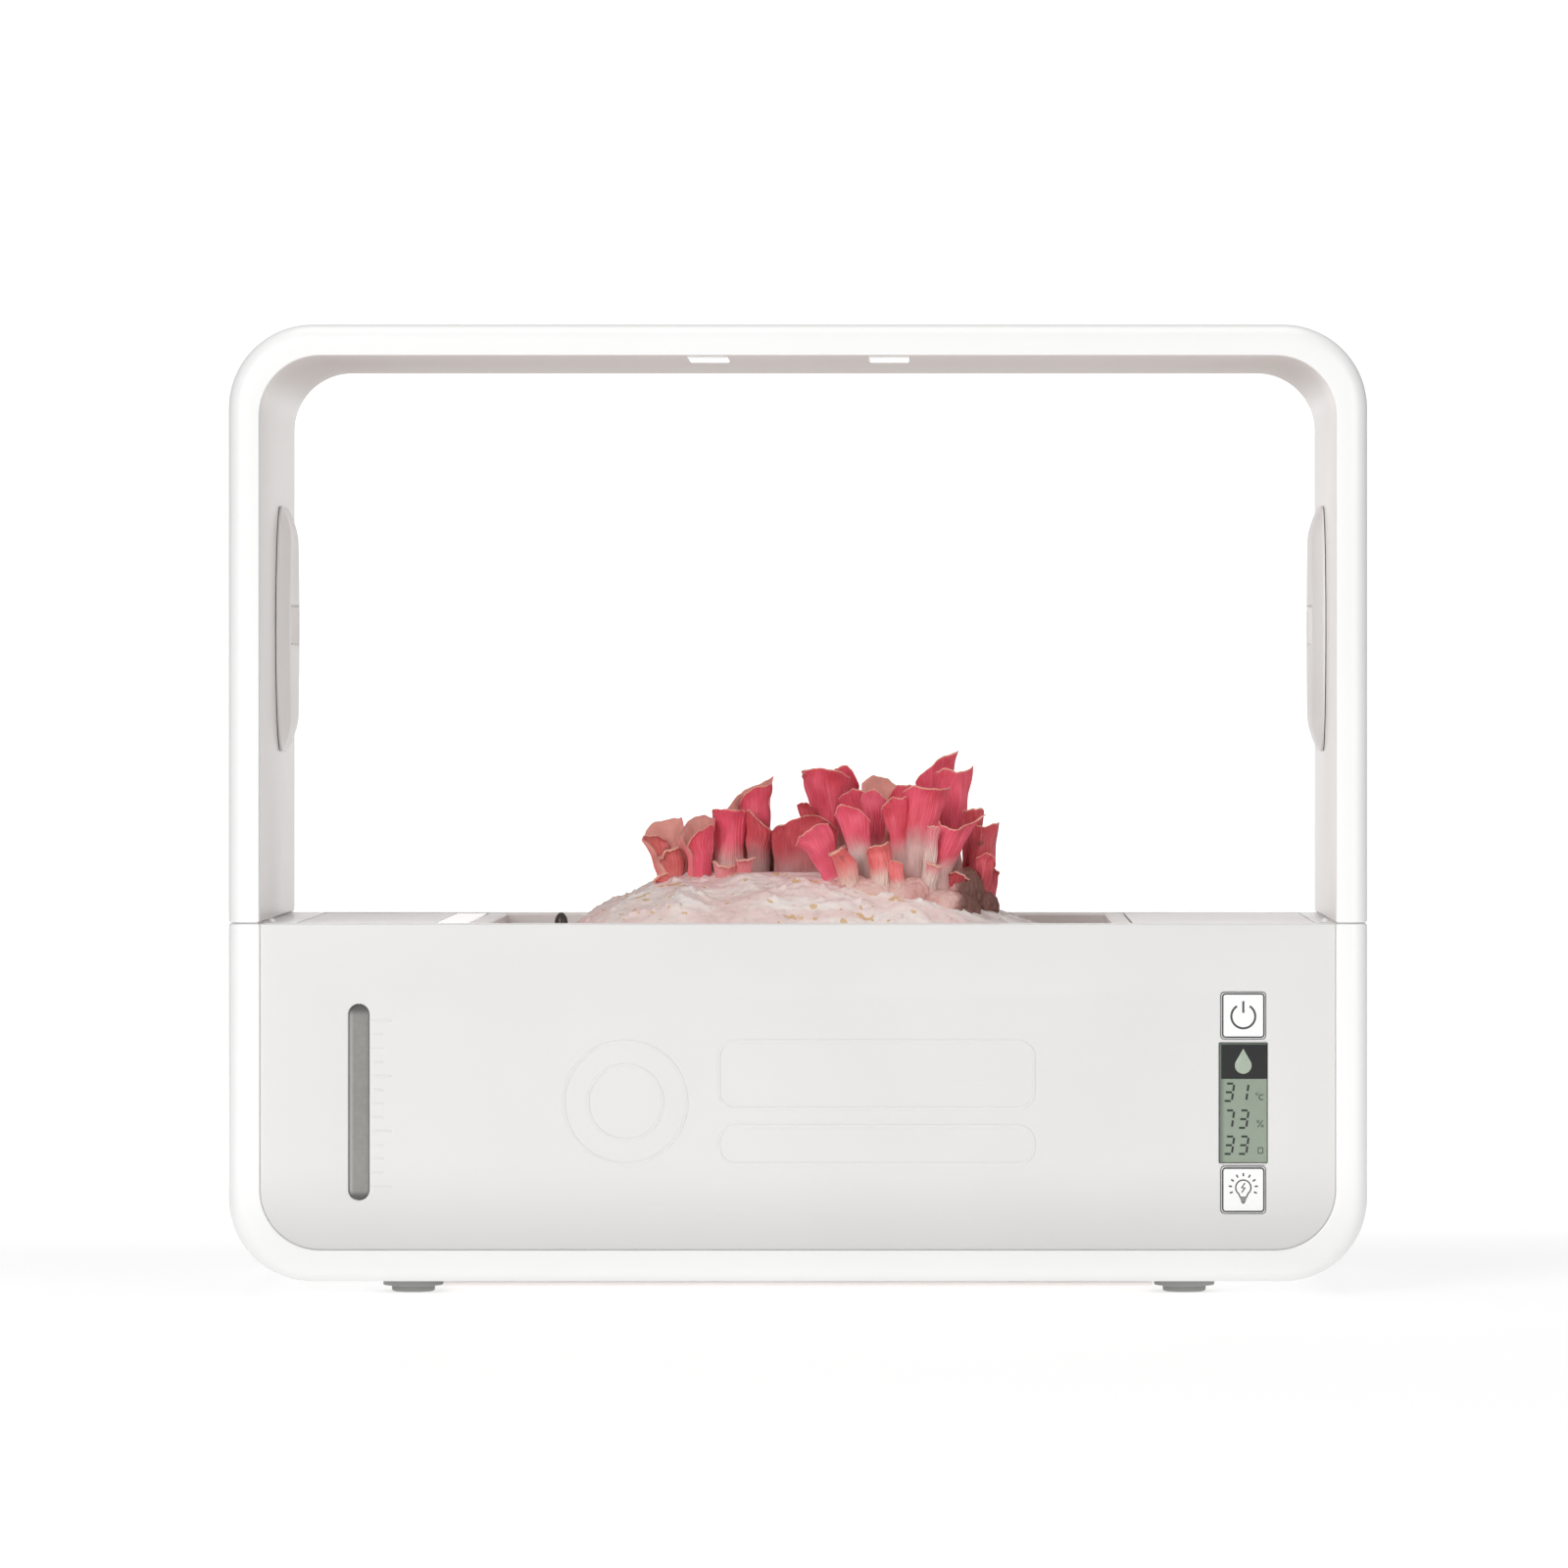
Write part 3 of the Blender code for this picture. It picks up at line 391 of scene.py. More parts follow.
@dataclass(frozen=True)
class Tissue:
    """Mushroom flesh: pale stem, saturated gilled face with streaks of painted highlight and painted
    shadow, dusty inner face and a thin cream rim.
    """

    name: str
    red: Colour
    deep: Colour
    inner: Colour
    stem: Colour
    stem_end: float = 0.30
    stem_fade: float = 0.55
    blemish: float = 0.5

    def build(self) -> bpy.types.Material:
        """Make the material; the map runs across the sheet (u) and from foot to rim (v)."""
        board = Board(self.name)
        place = board.place()
        u, v, _ = board.axes(board.node("ShaderNodeUVMap", {"uv_map": "sheet"}, {}))
        side = board.node("ShaderNodeAttribute", {"attribute_name": "inner_side"}, {}, "Fac")
        along = board.vector(u * 46.0, v * 2.2)
        streak = board.noise(along, 1.0, 3.0, 0.6)
        broad = board.noise(place, 95.0, 3.0, 0.55)
        fibre = board.noise(board.vector(u * 150.0, v * 5.0), 1.0, 2.0, 0.6)
        gill = (u * 520.0 + 3.0 * broad).sine()
        colour = board.blend(broad.step(0.30, 0.72), self.red, self.deep)
        # Painted light on the streaks: lighter ones as painted highlight, darker ones as painted shadow.
        painted_highlight = tuple(min(1.0, 1.0 * part + 0.10) for part in self.red)
        colour = board.blend(streak.step(0.45, 0.75) * 0.55, colour, painted_highlight)
        shadow = tuple(0.66 * part for part in self.deep)
        colour = board.blend(streak.step(0.42, 0.22) * 0.40, colour, shadow)
        spot = board.noise(place, 150.0, 2.0, 0.5).step(0.66, 0.74)
        colour = board.blend(spot * self.blemish, colour, (0.20, 0.045, 0.045))
        pale = (v + 0.22 * (streak - 0.5) + 0.10 * (broad - 0.5)).step(self.stem_fade, self.stem_end)
        stem = board.blend(fibre.step(0.3, 0.75), self.stem,
                           tuple(0.72 * part for part in self.stem))
        colour = board.blend(pale, colour, stem)
        dusty = board.blend(broad.step(0.3, 0.7), self.inner, tuple(0.78 * c for c in self.inner))
        dusty = board.blend(fibre.step(0.5, 0.8) * 0.3, dusty, (0.72, 0.50, 0.44))
        colour = board.blend(side, colour, dusty)
        rim = v.step(0.978, 0.990)
        colour = board.blend(rim * 0.75, colour, (0.88, 0.50, 0.36))
        relief = 0.45 * gill * (1.0 - side) + 0.9 * fibre + 0.5 * streak
        board.bump(relief, 0.55, 0.00022)
        return board.finish(Base_Color=colour, Roughness=0.40 + 0.22 * fibre,
                            Subsurface_Weight=0.18, Subsurface_Radius=(1.0, 0.35, 0.28),
                            Subsurface_Scale=0.0022, Sheen_Weight=0.12)


@dataclass(frozen=True)
class KnotFlesh:
    """The knot that a cluster grows from: pale fibrous tissue, darkened towards one side by painted shade.
    """

    name: str
    pale: Colour
    warm: Colour
    painted_shade_colour: Colour
    painted_shade_from: float
    painted_shade_to: float

    def build(self) -> bpy.types.Material:
        """Make the material."""
        board = Board(self.name)
        place = board.place()
        x, y, z = board.axes(place)
        fibre = board.noise(board.vector(x, y, z * 0.25), 420.0, 4.0, 0.6)
        patch = board.noise(place, 90.0, 4.0, 0.6)
        colour = board.blend(patch.step(0.36, 0.64), self.pale, self.warm)
        colour = board.blend(fibre.step(0.45, 0.75) * 0.4, colour, (0.80, 0.62, 0.56))
        # Painted shade: the knot darkens towards one side.
        side = (x + 0.012 * (patch - 0.5)).step(self.painted_shade_from, self.painted_shade_to)
        colour = board.blend(side, colour, self.painted_shade_colour)
        board.bump(0.7 * fibre + patch, 0.6, 0.0005)
        return board.finish(Base_Color=colour, Roughness=0.50 + 0.2 * fibre,
                            Subsurface_Weight=0.15, Subsurface_Radius=(1.0, 0.4, 0.3),
                            Subsurface_Scale=0.002)


@dataclass(frozen=True)
class Backdrop:
    """Plain pale floor, lit from below like a light table round the object and grey beyond."""

    name: str = "pale_floor"
    glow: float = 1.0

    def build(self) -> bpy.types.Material:
        """Make the material."""
        board = Board(self.name)
        place = board.place()
        drift = board.noise(place, 1.5, 2.0)
        x, y, z = board.axes(place)
        spread = (x * x) ** 0.5
        lit = spread.step(1.1, 0.6) * y.step(-1.9, -1.3) * z.step(1.6, 1.1)
        lit = lit * (0.62 + 0.38 * y.step(0.1, 0.9))
        return board.finish(Base_Color=board.blend(drift, (0.40, 0.40, 0.40), (0.42, 0.42, 0.42)),
                            Roughness=0.8, Emission_Strength=self.glow,
                            Emission_Color=board.blend(lit, (0.10, 0.10, 0.10), (1.0, 1.0, 1.0)))


# ------------------------------------------------------------------------------ surfaces
def link(name: str, data: Any) -> bpy.types.Object:
    """A new object in the scene that holds a mesh, curve, lamp or camera."""
    made = bpy.data.objects.new(name, data)
    bpy.context.scene.collection.objects.link(made)
    return made


def weld_and_shade(mesh: bpy.types.Mesh, weld: float, sharp: float, outward: bool = True) -> None:
    """Join points closer than weld, turn the faces outwards and keep edges over sharp degrees."""
    working = bmesh.new()
    working.from_mesh(mesh)
    bmesh.ops.remove_doubles(working, verts=working.verts, dist=weld)
    if outward:
        bmesh.ops.recalc_face_normals(working, faces=working.faces)
    working.to_mesh(mesh)
    working.free()
    mesh.shade_smooth()
    mesh.set_sharp_from_angle(angle=math.radians(sharp))


@dataclass
class Surface:
    """A grid of points, rows by columns by XYZ, that may close on itself either way."""

    points: np.ndarray
    wrap_columns: bool = False
    wrap_rows: bool = False
    cap_rows: bool = False
    maps: Optional[np.ndarray] = None
    inner: Optional[np.ndarray] = None


@dataclass
class Pile:
    """Surfaces gathered into one mesh."""

    surfaces: List[Surface] = field(default_factory=list)

    def add(self, *surfaces: Surface) -> "Pile":
        """Add surfaces and return the pile."""
        self.surfaces.extend(surfaces)
        return self

    @staticmethod
    def _quads(surface: Surface) -> np.ndarray:
        """Corner numbers of a grid's quads: each point, its neighbours right, diagonal and up."""
        rows, columns = surface.points.shape[:2]
        numbers = np.arange(rows * columns).reshape(rows, columns)
        if surface.wrap_columns:
            numbers = np.concatenate([numbers, numbers[:, :1]], axis=1)
        if surface.wrap_rows:
            numbers = np.concatenate([numbers, numbers[:1]], axis=0)
        corners = (numbers[:-1, :-1], numbers[:-1, 1:], numbers[1:, 1:], numbers[1:, :-1])
        return np.stack(corners, axis=-1).reshape(-1, 4)

    def build(self, name: str, finish: bpy.types.Material, sharp: float = 38.0,
              weld: float = 1e-6, outward: bool = True) -> bpy.types.Object:
        """Put the surfaces in one mesh object at the origin.

        Args:
            name: the piece's name.
            finish: its material.
            sharp: edges sharper than this many degrees stay crisp.
            weld: points closer than this become one.
            outward: recalculate the faces to point outwards.

        Returns:
            The linked object.
        """
        faces: List[Any] = []
        start = 0
        for surface in self.surfaces:
            rows, columns = surface.points.shape[:2]
            faces.extend((self._quads(surface) + start).tolist())
            if surface.cap_rows:
                ring = np.arange(columns)
                faces.append((ring[::-1] + start).tolist())
                faces.append((ring + start + (rows - 1) * columns).tolist())
            start += rows * columns
        points = np.concatenate([s.points.reshape(-1, 3) for s in self.surfaces])
        mesh = bpy.data.meshes.new(name)
        mesh.from_pydata(points.tolist(), [], faces)
        if all(surface.maps is not None for surface in self.surfaces):
            self._write_maps(mesh)
        weld_and_shade(mesh, weld, sharp, outward)
        mesh.materials.append(finish)
        return link(name, mesh)

    def _write_maps(self, mesh: bpy.types.Mesh) -> None:
        """Write the sheet map and the inner-side value from the surfaces' own arrays."""
        flat = np.concatenate([s.maps.reshape(-1, 2) for s in self.surfaces]).astype(np.float32)
        corners = np.empty(len(mesh.loops), dtype=np.int32)
        mesh.loops.foreach_get("vertex_index", corners)
        layer = mesh.uv_layers.new(name="sheet")
        layer.data.foreach_set("uv", flat[corners].reshape(-1))
        inner = np.concatenate([s.inner.reshape(-1) for s in self.surfaces]).astype(np.float32)
        mesh.attributes.new("inner_side", "FLOAT", "POINT").data.foreach_set("value", inner)


def ease(low: float, high: float, value: np.ndarray) -> np.ndarray:
    """Smooth step: 3t squared minus 2t cubed, with t the place of value between low and high."""
    t = np.clip((value - low) / (high - low), 0.0, 1.0)
    return t * t * (3.0 - 2.0 * t)


def wobble(points: np.ndarray, size: float, seed: int, terms: int = 9) -> np.ndarray:
    """Smooth random field between about -1 and 1.

    The mean of sines of the dot product of each point with random directions of length 2 pi over
    size, each with its own phase.

    Args:
        points: places, any shape ending in 3.
        size: length of a typical swell in metres.
        seed: chooses the directions and phases.
        terms: number of sines.

    Returns:
        One value a point.
    """
    chance = np.random.default_rng(seed)
    directions = chance.normal(size=(terms, 3))
    directions /= np.linalg.norm(directions, axis=1, keepdims=True)
    directions *= 2.0 * math.pi / size * chance.uniform(0.6, 1.5, (terms, 1))
    phases = chance.uniform(0.0, 2.0 * math.pi, terms)
    return np.sin(points @ directions.T + phases).sum(axis=-1) / math.sqrt(terms) / 1.2


def arc(centre: Tuple[float, float], radius: float, start: float, end: float,
        steps: int) -> np.ndarray:
    """Points on a circle: centre plus radius times the cosine and sine of start to end degrees."""
    turn = np.radians(np.linspace(start, end, steps + 1))
    return np.stack([centre[0] + radius * np.cos(turn), centre[1] + radius * np.sin(turn)], axis=1)


def rounded_rectangle(low: Tuple[float, float], high: Tuple[float, float], radius: float,
                      steps: int = 8) -> np.ndarray:
    """Closed outline, anticlockwise: four quarter circles at the corners of a rectangle."""
    (x0, z0), (x1, z1) = low, high
    return np.concatenate([
        arc((x0 + radius, z0 + radius), radius, 180.0, 270.0, steps),
        arc((x1 - radius, z0 + radius), radius, 270.0, 360.0, steps),
        arc((x1 - radius, z1 - radius), radius, 0.0, 90.0, steps),
        arc((x0 + radius, z1 - radius), radius, 90.0, 180.0, steps)])


def block(low: Sequence[float], high: Sequence[float], corner: float, edge: float,
          steps: int = 6) -> Surface:
    """Closed box with round upright corners and rounded top and bottom edges.

    Each row is the plan outline drawn in by an inset at a height: the inset is edge times one
    minus the sine and the height edge times one minus the cosine of the rounding's angle.
    """
    turn = np.linspace(0.0, math.pi / 2, steps)
    inset = np.concatenate([edge * (1 - np.sin(turn)), (edge * (1 - np.sin(turn)))[::-1]])
    height = np.concatenate([low[2] + edge * (1 - np.cos(turn)),
                             (high[2] - edge * (1 - np.cos(turn)))[::-1]])
    rows = [rounded_rectangle((low[0] + i, low[1] + i), (high[0] - i, high[1] - i),
                              max(corner - i, 1e-5), steps) for i in inset]
    points = [np.column_stack([row, np.full(len(row), z)]) for row, z in zip(rows, height)]
    return Surface(np.array(points), wrap_columns=True, cap_rows=True)


def slab(top: np.ndarray, bottom: np.ndarray) -> List[Surface]:
    """Closed body between two grids of the same shape: both of them and a strip down each side."""
    sides = [Surface(np.stack([top[edge], bottom[edge]]))
             for edge in (np.s_[0, :], np.s_[-1, :], np.s_[:, 0], np.s_[:, -1])]
    return [Surface(top), Surface(bottom), *sides]


def turned(profile: np.ndarray, centre: Sequence[float], steps: int = 64,
           axis: str = "Z") -> Surface:
    """Turned surface: each (radius, height) of the profile carried round a full circle."""
    turn = np.linspace(0.0, 2.0 * math.pi, steps, endpoint=False)
    radius, height = profile[:, :1], profile[:, 1:]
    a, b = radius * np.cos(turn), radius * np.sin(turn)
    h = np.broadcast_to(height, a.shape)
    stacked = np.stack([a, b, h] if axis == "Z" else [a, h, b], axis=-1)
    return Surface(stacked + np.asarray(centre), wrap_columns=True, cap_rows=True)


def softened(profile: Sequence[Tuple[float, float]], cut: float = 0.25) -> np.ndarray:
    """Profile with each inner corner replaced by two points a short way along its sides."""
    corners = np.asarray(profile, dtype=float)
    before, here, after = corners[:-2], corners[1:-1], corners[2:]
    reach = lambda a, b: np.minimum(cut * MM / np.maximum(np.linalg.norm(b - a, axis=1), 1e-9),
                                    0.45)[:, None]
    first = here + (before - here) * reach(here, before)
    second = here + (after - here) * reach(here, after)
    pairs = np.stack([first, second], axis=1).reshape(-1, 2)
    return np.concatenate([corners[:1], pairs, corners[-1:]])


def facing(flat: np.ndarray, y: float, proud: np.ndarray) -> np.ndarray:
    """Stand (x, z) points on a wall at depth y, each proud of it towards the front."""
    return np.stack([flat[..., 0], y - proud, flat[..., 1]], axis=-1)


def stroke(path: np.ndarray, width: float, y: float, height: float,
           closed: bool = False) -> Surface:
    """Flat raised line on a front-facing wall.

    A rectangle of the line's width and height carried along the path: each path point is moved
    left and right by half the width along the path's normal in the wall's plane.
    """
    ahead = np.roll(path, -1, axis=0) - path
    behind = path - np.roll(path, 1, axis=0)
    if not closed:
        ahead[-1] = behind[-1]
        behind[0] = ahead[0]
    ahead /= np.linalg.norm(ahead, axis=1, keepdims=True)
    behind /= np.linalg.norm(behind, axis=1, keepdims=True)
    along = ahead + behind
    along /= np.linalg.norm(along, axis=1, keepdims=True)
    mitre = np.clip(1.0 / np.maximum((along * ahead).sum(axis=1), 0.5), 1.0, 1.6)[:, None]
    normal = np.stack([-along[:, 1], along[:, 0]], axis=1) * mitre
    sides = np.array([1.0, 1.0, -1.0, -1.0]) * width / 2
    lifts = np.array([-SUNK, height, height, -SUNK])
    flat = path[:, None, :] + normal[:, None, :] * sides[None, :, None]
    points = facing(flat, y, np.broadcast_to(lifts, flat.shape[:2]))
    return Surface(points, wrap_columns=True, wrap_rows=closed, cap_rows=not closed)


def pad(outline: np.ndarray, y: float, height: float, slope: float) -> Surface:
    """Raised patch on a front-facing wall, whose rim rises in a quarter wave over the slope.

    Rows go from the wall, where the outline is whole, inwards to the flat top, each drawn towards
    the outline's middle by its share of the slope.
    """
    middle = (outline.max(axis=0) + outline.min(axis=0)) / 2
    half = (outline.max(axis=0) - outline.min(axis=0)) / 2
    t = np.linspace(0.0, 1.0, 5)
    shrink = 1.0 - np.minimum(slope * t[:, None] / half[None, :], 0.98)
    flat = middle + (outline - middle)[None, :, :] * shrink[:, None, :]
    lift = -SUNK + (height + SUNK) * np.sin(t * math.pi / 2)
    points = facing(flat, y, np.broadcast_to(lift[:, None], flat.shape[:2]))
    return Surface(points, wrap_columns=True, cap_rows=True)


def cut_plate(name: str, outlines: Sequence[np.ndarray], y_front: float, y_back: float,
              edge: float, finish: bpy.types.Material) -> bpy.types.Object:
    """A flat plate with holes and rounded edges, facing the front.

    Args:
        name: the piece's name.
        outlines: the outer outline first and then each hole, as (x, z) arrays.
        y_front: depth of the front face.
        y_back: depth of the back face.
        edge: radius of the rounded edges.
        finish: its material.

    Returns:
        The linked mesh object.
    """
    drawing = bpy.data.curves.new(name, "CURVE")
    drawing.dimensions = "2D"
    drawing.fill_mode = "BOTH"
    drawing.extrude = (y_back - y_front) / 2 - edge
    drawing.bevel_depth = edge
    drawing.bevel_resolution = 3
    drawing.offset = -edge
    for outline in outlines:
        spline = drawing.splines.new("POLY")
        spline.points.add(len(outline) - 1)
        flat = np.column_stack([outline, np.zeros(len(outline)), np.ones(len(outline))])
        spline.points.foreach_set("co", flat.reshape(-1))
        spline.use_cyclic_u = True
    drawn = link(name + "_drawing", drawing)
    mesh = bpy.data.meshes.new_from_object(drawn.evaluated_get(
        bpy.context.evaluated_depsgraph_get()))
    bpy.data.objects.remove(drawn, do_unlink=True)
    points = np.empty(len(mesh.vertices) * 3, dtype=np.float32)
    mesh.vertices.foreach_get("co", points)
    points = points.reshape(-1, 3)
    middle = (y_front + y_back) / 2
    standing = np.stack([points[:, 0], middle - points[:, 2], points[:, 1]], axis=1)
    mesh.vertices.foreach_set("co", standing.reshape(-1))
    weld_and_shade(mesh, 2e-6, 40.0)
    mesh.materials.clear()
    mesh.materials.append(finish)
    return link(name, mesh)


def corners(node: str) -> Box:
    """A CAD node's lowest and highest corners as arrays."""
    low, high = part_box(node)
    return np.array(low), np.array(high)


def settle(piece: bpy.types.Object, slot: str, *nodes: str) -> bpy.types.Object:
    """Let a piece ride on the one body and stand for CAD nodes."""
    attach(piece, "root")
    if nodes:
        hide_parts(*nodes)
    return piece


def dress(node: str, finish: bpy.types.Material) -> None:
    """Give a carried-over CAD node its finish."""
    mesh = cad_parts[node].data
    mesh.materials.clear()
    mesh.materials.append(finish)


# ------------------------------------------------------------------------------ housing
MOULDINGS = (
    # rim_white paints shade on the hood's inner faces and at the top of its opening, and both rim_white and
    # panel_satin are painted darker low down.
    Moulding("rim_white", (0.940, 0.938, 0.932), (0.925, 0.922, 0.915), 0.34, coat=0.15,
             inside=(0.730, 0.700, 0.682), painted_roof_shade=(0.730, 0.680, 0.655), low_shade=0.12),
    Moulding("panel_satin", (0.755, 0.748, 0.736), (0.738, 0.731, 0.719), 0.42, grain=3400.0,
             low_shade=0.20),
    Moulding("cover_grey", (0.950, 0.925, 0.912), (0.910, 0.885, 0.872), 0.36, coat=0.08),
    Moulding("strip_grey", (0.930, 0.880, 0.860), (0.880, 0.830, 0.810), 0.26, coat=0.5),
    Moulding("tray_grey", (0.900, 0.855, 0.835), (0.860, 0.812, 0.792), 0.36),
    Moulding("side_cover_grey", (0.935, 0.922, 0.910), (0.860, 0.842, 0.828), 0.40),
    Moulding("foot_rubber", (0.330, 0.330, 0.315), (0.290, 0.290, 0.278), 0.62, grain=1800.0,
             grain_depth=0.00004),
    Moulding("lens_white", (0.930, 0.930, 0.925), (0.905, 0.905, 0.900), 0.22, coat=0.5),
    Moulding("dark_plastic", (0.040, 0.030, 0.026), (0.030, 0.022, 0.020), 0.34))


@dataclass
class Housing:
    """Base, hood, panels, covers, feet and the flat pieces of the deck."""

    rim_round: float = 0.0065
    inner_round: float = 0.0008
    seam_round: float = 0.0005
    arc_steps: int = 24
    finishes: Dict[str, bpy.types.Material] = field(init=False)

    def __post_init__(self) -> None:
        """Mix the finishes and read the driving sizes from the frame."""
        self.finishes = {moulding.name: moulding.build() for moulding in MOULDINGS}
        self.outer_low, self.outer_high = (np.array(corner) for corner in CAD_BOX)
        self.front = self.outer_low[1]
        self.back = self.outer_high[1]
        base_low, base_high = corners("base_shell")
        self.seam_top, self.seam_low = corners("hood")[0][2], base_high[2]
        self.base_bottom = base_low[2]
        self.rim = corners("front_panel")[0][0] - self.outer_low[0]

    def _rim_profile(self) -> np.ndarray:
        """Closed section of the rim as (share of the way in, depth).

        Quarter circles of the rim's rounding at the outer edges, of the small rounding at the
        inner ones, and straight walls between them.
        """
        big, small, wide = self.rim_round, self.inner_round, self.rim
        front = np.concatenate([
            arc((big, self.front + big), big, 180.0, 270.0, 10),
            arc((wide - small, self.front + small), small, 270.0, 360.0, 4)])
        rear = front[::-1] * (1.0, -1.0) + (0.0, self.front + self.back)
        section = np.concatenate([front, rear])
        return section / (wide, 1.0)

    def _contours(self, upper: bool) -> Tuple[np.ndarray, np.ndarray]:
        """Outer and inner contours of the rim with matching points, from one seam to the other.

        Each is a straight side, a quarter circle, a straight run, a quarter circle and a side.
        """
        half, edge = self.outer_high[0], self.outer_high[2] if upper else self.base_bottom
        seam = self.seam_top if upper else self.seam_low
        sign = 1.0 if upper else -1.0
        pair = []
        for inset, radius in ((0.0, OUTER_RADIUS), (self.rim, INNER_RADIUS)):
            x, z = half - inset, edge - sign * inset
            left = arc((-x + radius, z - sign * radius), radius, 180.0, 180.0 - sign * 90.0,
                       self.arc_steps)
            right = left[::-1] * (-1.0, 1.0)
            pair.append(np.concatenate([[(-x, seam)], left, right, [(x, seam)]]))
        return pair[0], pair[1]

    def _rim_skin(self, upper: bool) -> Surface:
        """The rim: its section carried along the contours, drawn in a little at both seams."""
        outer, inner = self._contours(upper)
        section = self._rim_profile()
        share, depth = section[:, 0], section[:, 1]
        flat = outer[:, None, :] + (inner - outer)[:, None, :] * share[None, :, None]
        rows = np.stack([flat[..., 0], np.broadcast_to(depth, flat.shape[:2]), flat[..., 1]], axis=-1)
        sign = 1.0 if upper else -1.0
        ends = []
        for row in (rows[0], rows[-1]):
            middle = (row.max(axis=0) + row.min(axis=0)) / 2
            half = (row.max(axis=0) - row.min(axis=0)) / 2
            scale = np.array([1 - self.seam_round / half[0], 1 - self.seam_round / half[1], 1.0])
            lifted = row + (0.0, 0.0, sign * self.seam_round)
            ends.append((middle + (row - middle) * scale, lifted))
        stacked = np.concatenate([[ends[0][0], ends[0][1]], rows[1:-1], [ends[1][1], ends[1][0]]])
        # Marks the inner faces, which rim_white paints with shade.
        inner = np.broadcast_to((share > 0.98) * 1.0, stacked.shape[:2])
        return Surface(stacked, wrap_columns=True, cap_rows=True,
                       maps=np.zeros((*stacked.shape[:2], 2)), inner=inner)

    def build_hood(self) -> bpy.types.Object:
        """The lift-off arch."""
        hood = Pile().add(self._rim_skin(True)).build("hood_arch", self.finishes["rim_white"])
        return settle(hood, "rim_white", "hood")

    def build_base(self) -> bpy.types.Object:
        """The tub: rim, floor, thick side walls and thin front and back walls round the deck."""
        lid_low, _ = corners("tank_lid")
        _, cover_high = corners("control_cover")
        seat = corners("front_panel")[1][1] + GAP
        wall = abs(lid_low[1]) + GAP
        inside = self.outer_high[0] - self.rim
        top = self.seam_low
        low = self.base_bottom + self.rim + TUCK
        skins = [self._rim_skin(False)]
        for x0, x1 in ((-inside - TUCK, lid_low[0] - 0.0003), (cover_high[0] + 0.0003, inside + TUCK)):
            skins.append(block((x0, seat, low), (x1, -seat, top - 0.00006), 0.0004, 0.0004, 3))
        outline = self._panel_outline()
        grown = outline + np.sign(outline - (0.0, 0.07)) * 0.0008
        grown[:, 1] = np.minimum(grown[:, 1], top)
        for y0, y1 in ((seat, -wall), (wall, -seat)):
            skins.append(Surface(np.stack([facing(grown, y, np.zeros(len(grown)))
                                           for y in (y0, y1)]), wrap_columns=True, cap_rows=True))
        base = Pile().add(*skins).build("base_tub", self.finishes["rim_white"])
        return settle(base, "rim_white", "base_shell")

    def _panel_outline(self) -> np.ndarray:
        """Panel outline: square at the seam, quarter circles below."""
        low, high = corners("front_panel")
        radius = INNER_RADIUS
        return np.concatenate([
            arc((low[0] + radius, low[2] + radius), radius, 180.0, 270.0, self.arc_steps),
            arc((high[0] - radius, low[2] + radius), radius, 270.0, 360.0, self.arc_steps),
            [(high[0], high[2]), (low[0], high[2])]])

    def build_panels(self) -> List[bpy.types.Object]:
        """Front panel with its windows and the back panel with the inlet's hole."""
        holes = []
        for node, radius in (("level_window", 0.00359), ("display", 0.0002),
                             ("power_key", 0.0012), ("light_key", 0.0012)):
            low, high = corners(node)
            holes.append(rounded_rectangle((low[0] - GAP, low[2] - GAP),
                                           (high[0] + GAP, high[2] + GAP), radius + GAP)[::-1])
        low, high = corners("front_panel")
        front = cut_plate("front_panel_skin", [self._panel_outline(), *holes], low[1], high[1],
                          0.0006, self.finishes["panel_satin"])
        settle(front, "panel_satin", "front_panel")
        low, high = corners("back_panel")
        inlet_low, inlet_high = corners("power_inlet")
        middle = (inlet_low + inlet_high) / 2
        hole = arc((middle[0], middle[2]), (inlet_high[0] - inlet_low[0]) / 2 + GAP, 360.0, 0.0, 40)
        back = cut_plate("back_panel_skin", [self._panel_outline(), hole[:-1]], low[1], high[1],
                         0.0006, self.finishes["panel_satin"])
        settle(back, "panel_satin", "back_panel")
        return [front, back]

    def _turn(self, node: str, profile: np.ndarray, finish: str, steps: int = 64,
              axis: str = "Z") -> bpy.types.Object:
        """Turn a profile round the middle of its CAD node."""
        low, high = corners(node)
        middle = (low + high) / 2
        middle["XYZ".index(axis)] = 0.0
        piece = Pile().add(turned(profile, middle, steps, axis)).build(
            f"{node}_turned", self.finishes[finish])
        return settle(piece, finish, node)

    def build_feet(self) -> List[bpy.types.Object]:
        """Four stepped feet."""
        feet = []
        for number in range(1, 5):
            low, high = corners(f"foot_{number}")
            wide, top, narrow = (high[0] - low[0]) / 2, high[2], 0.0080
            profile = softened([(0.0, top), (wide, top), (wide, 0.0024), (narrow, 0.0021),
                                (narrow, 0.0005), (narrow - 0.0007, 0.0), (0.0, 0.0)], 0.3)
            profile[[0, -1], 0] = AXIS
            feet.append(self._turn(f"foot_{number}", profile, "foot_rubber"))
        return feet

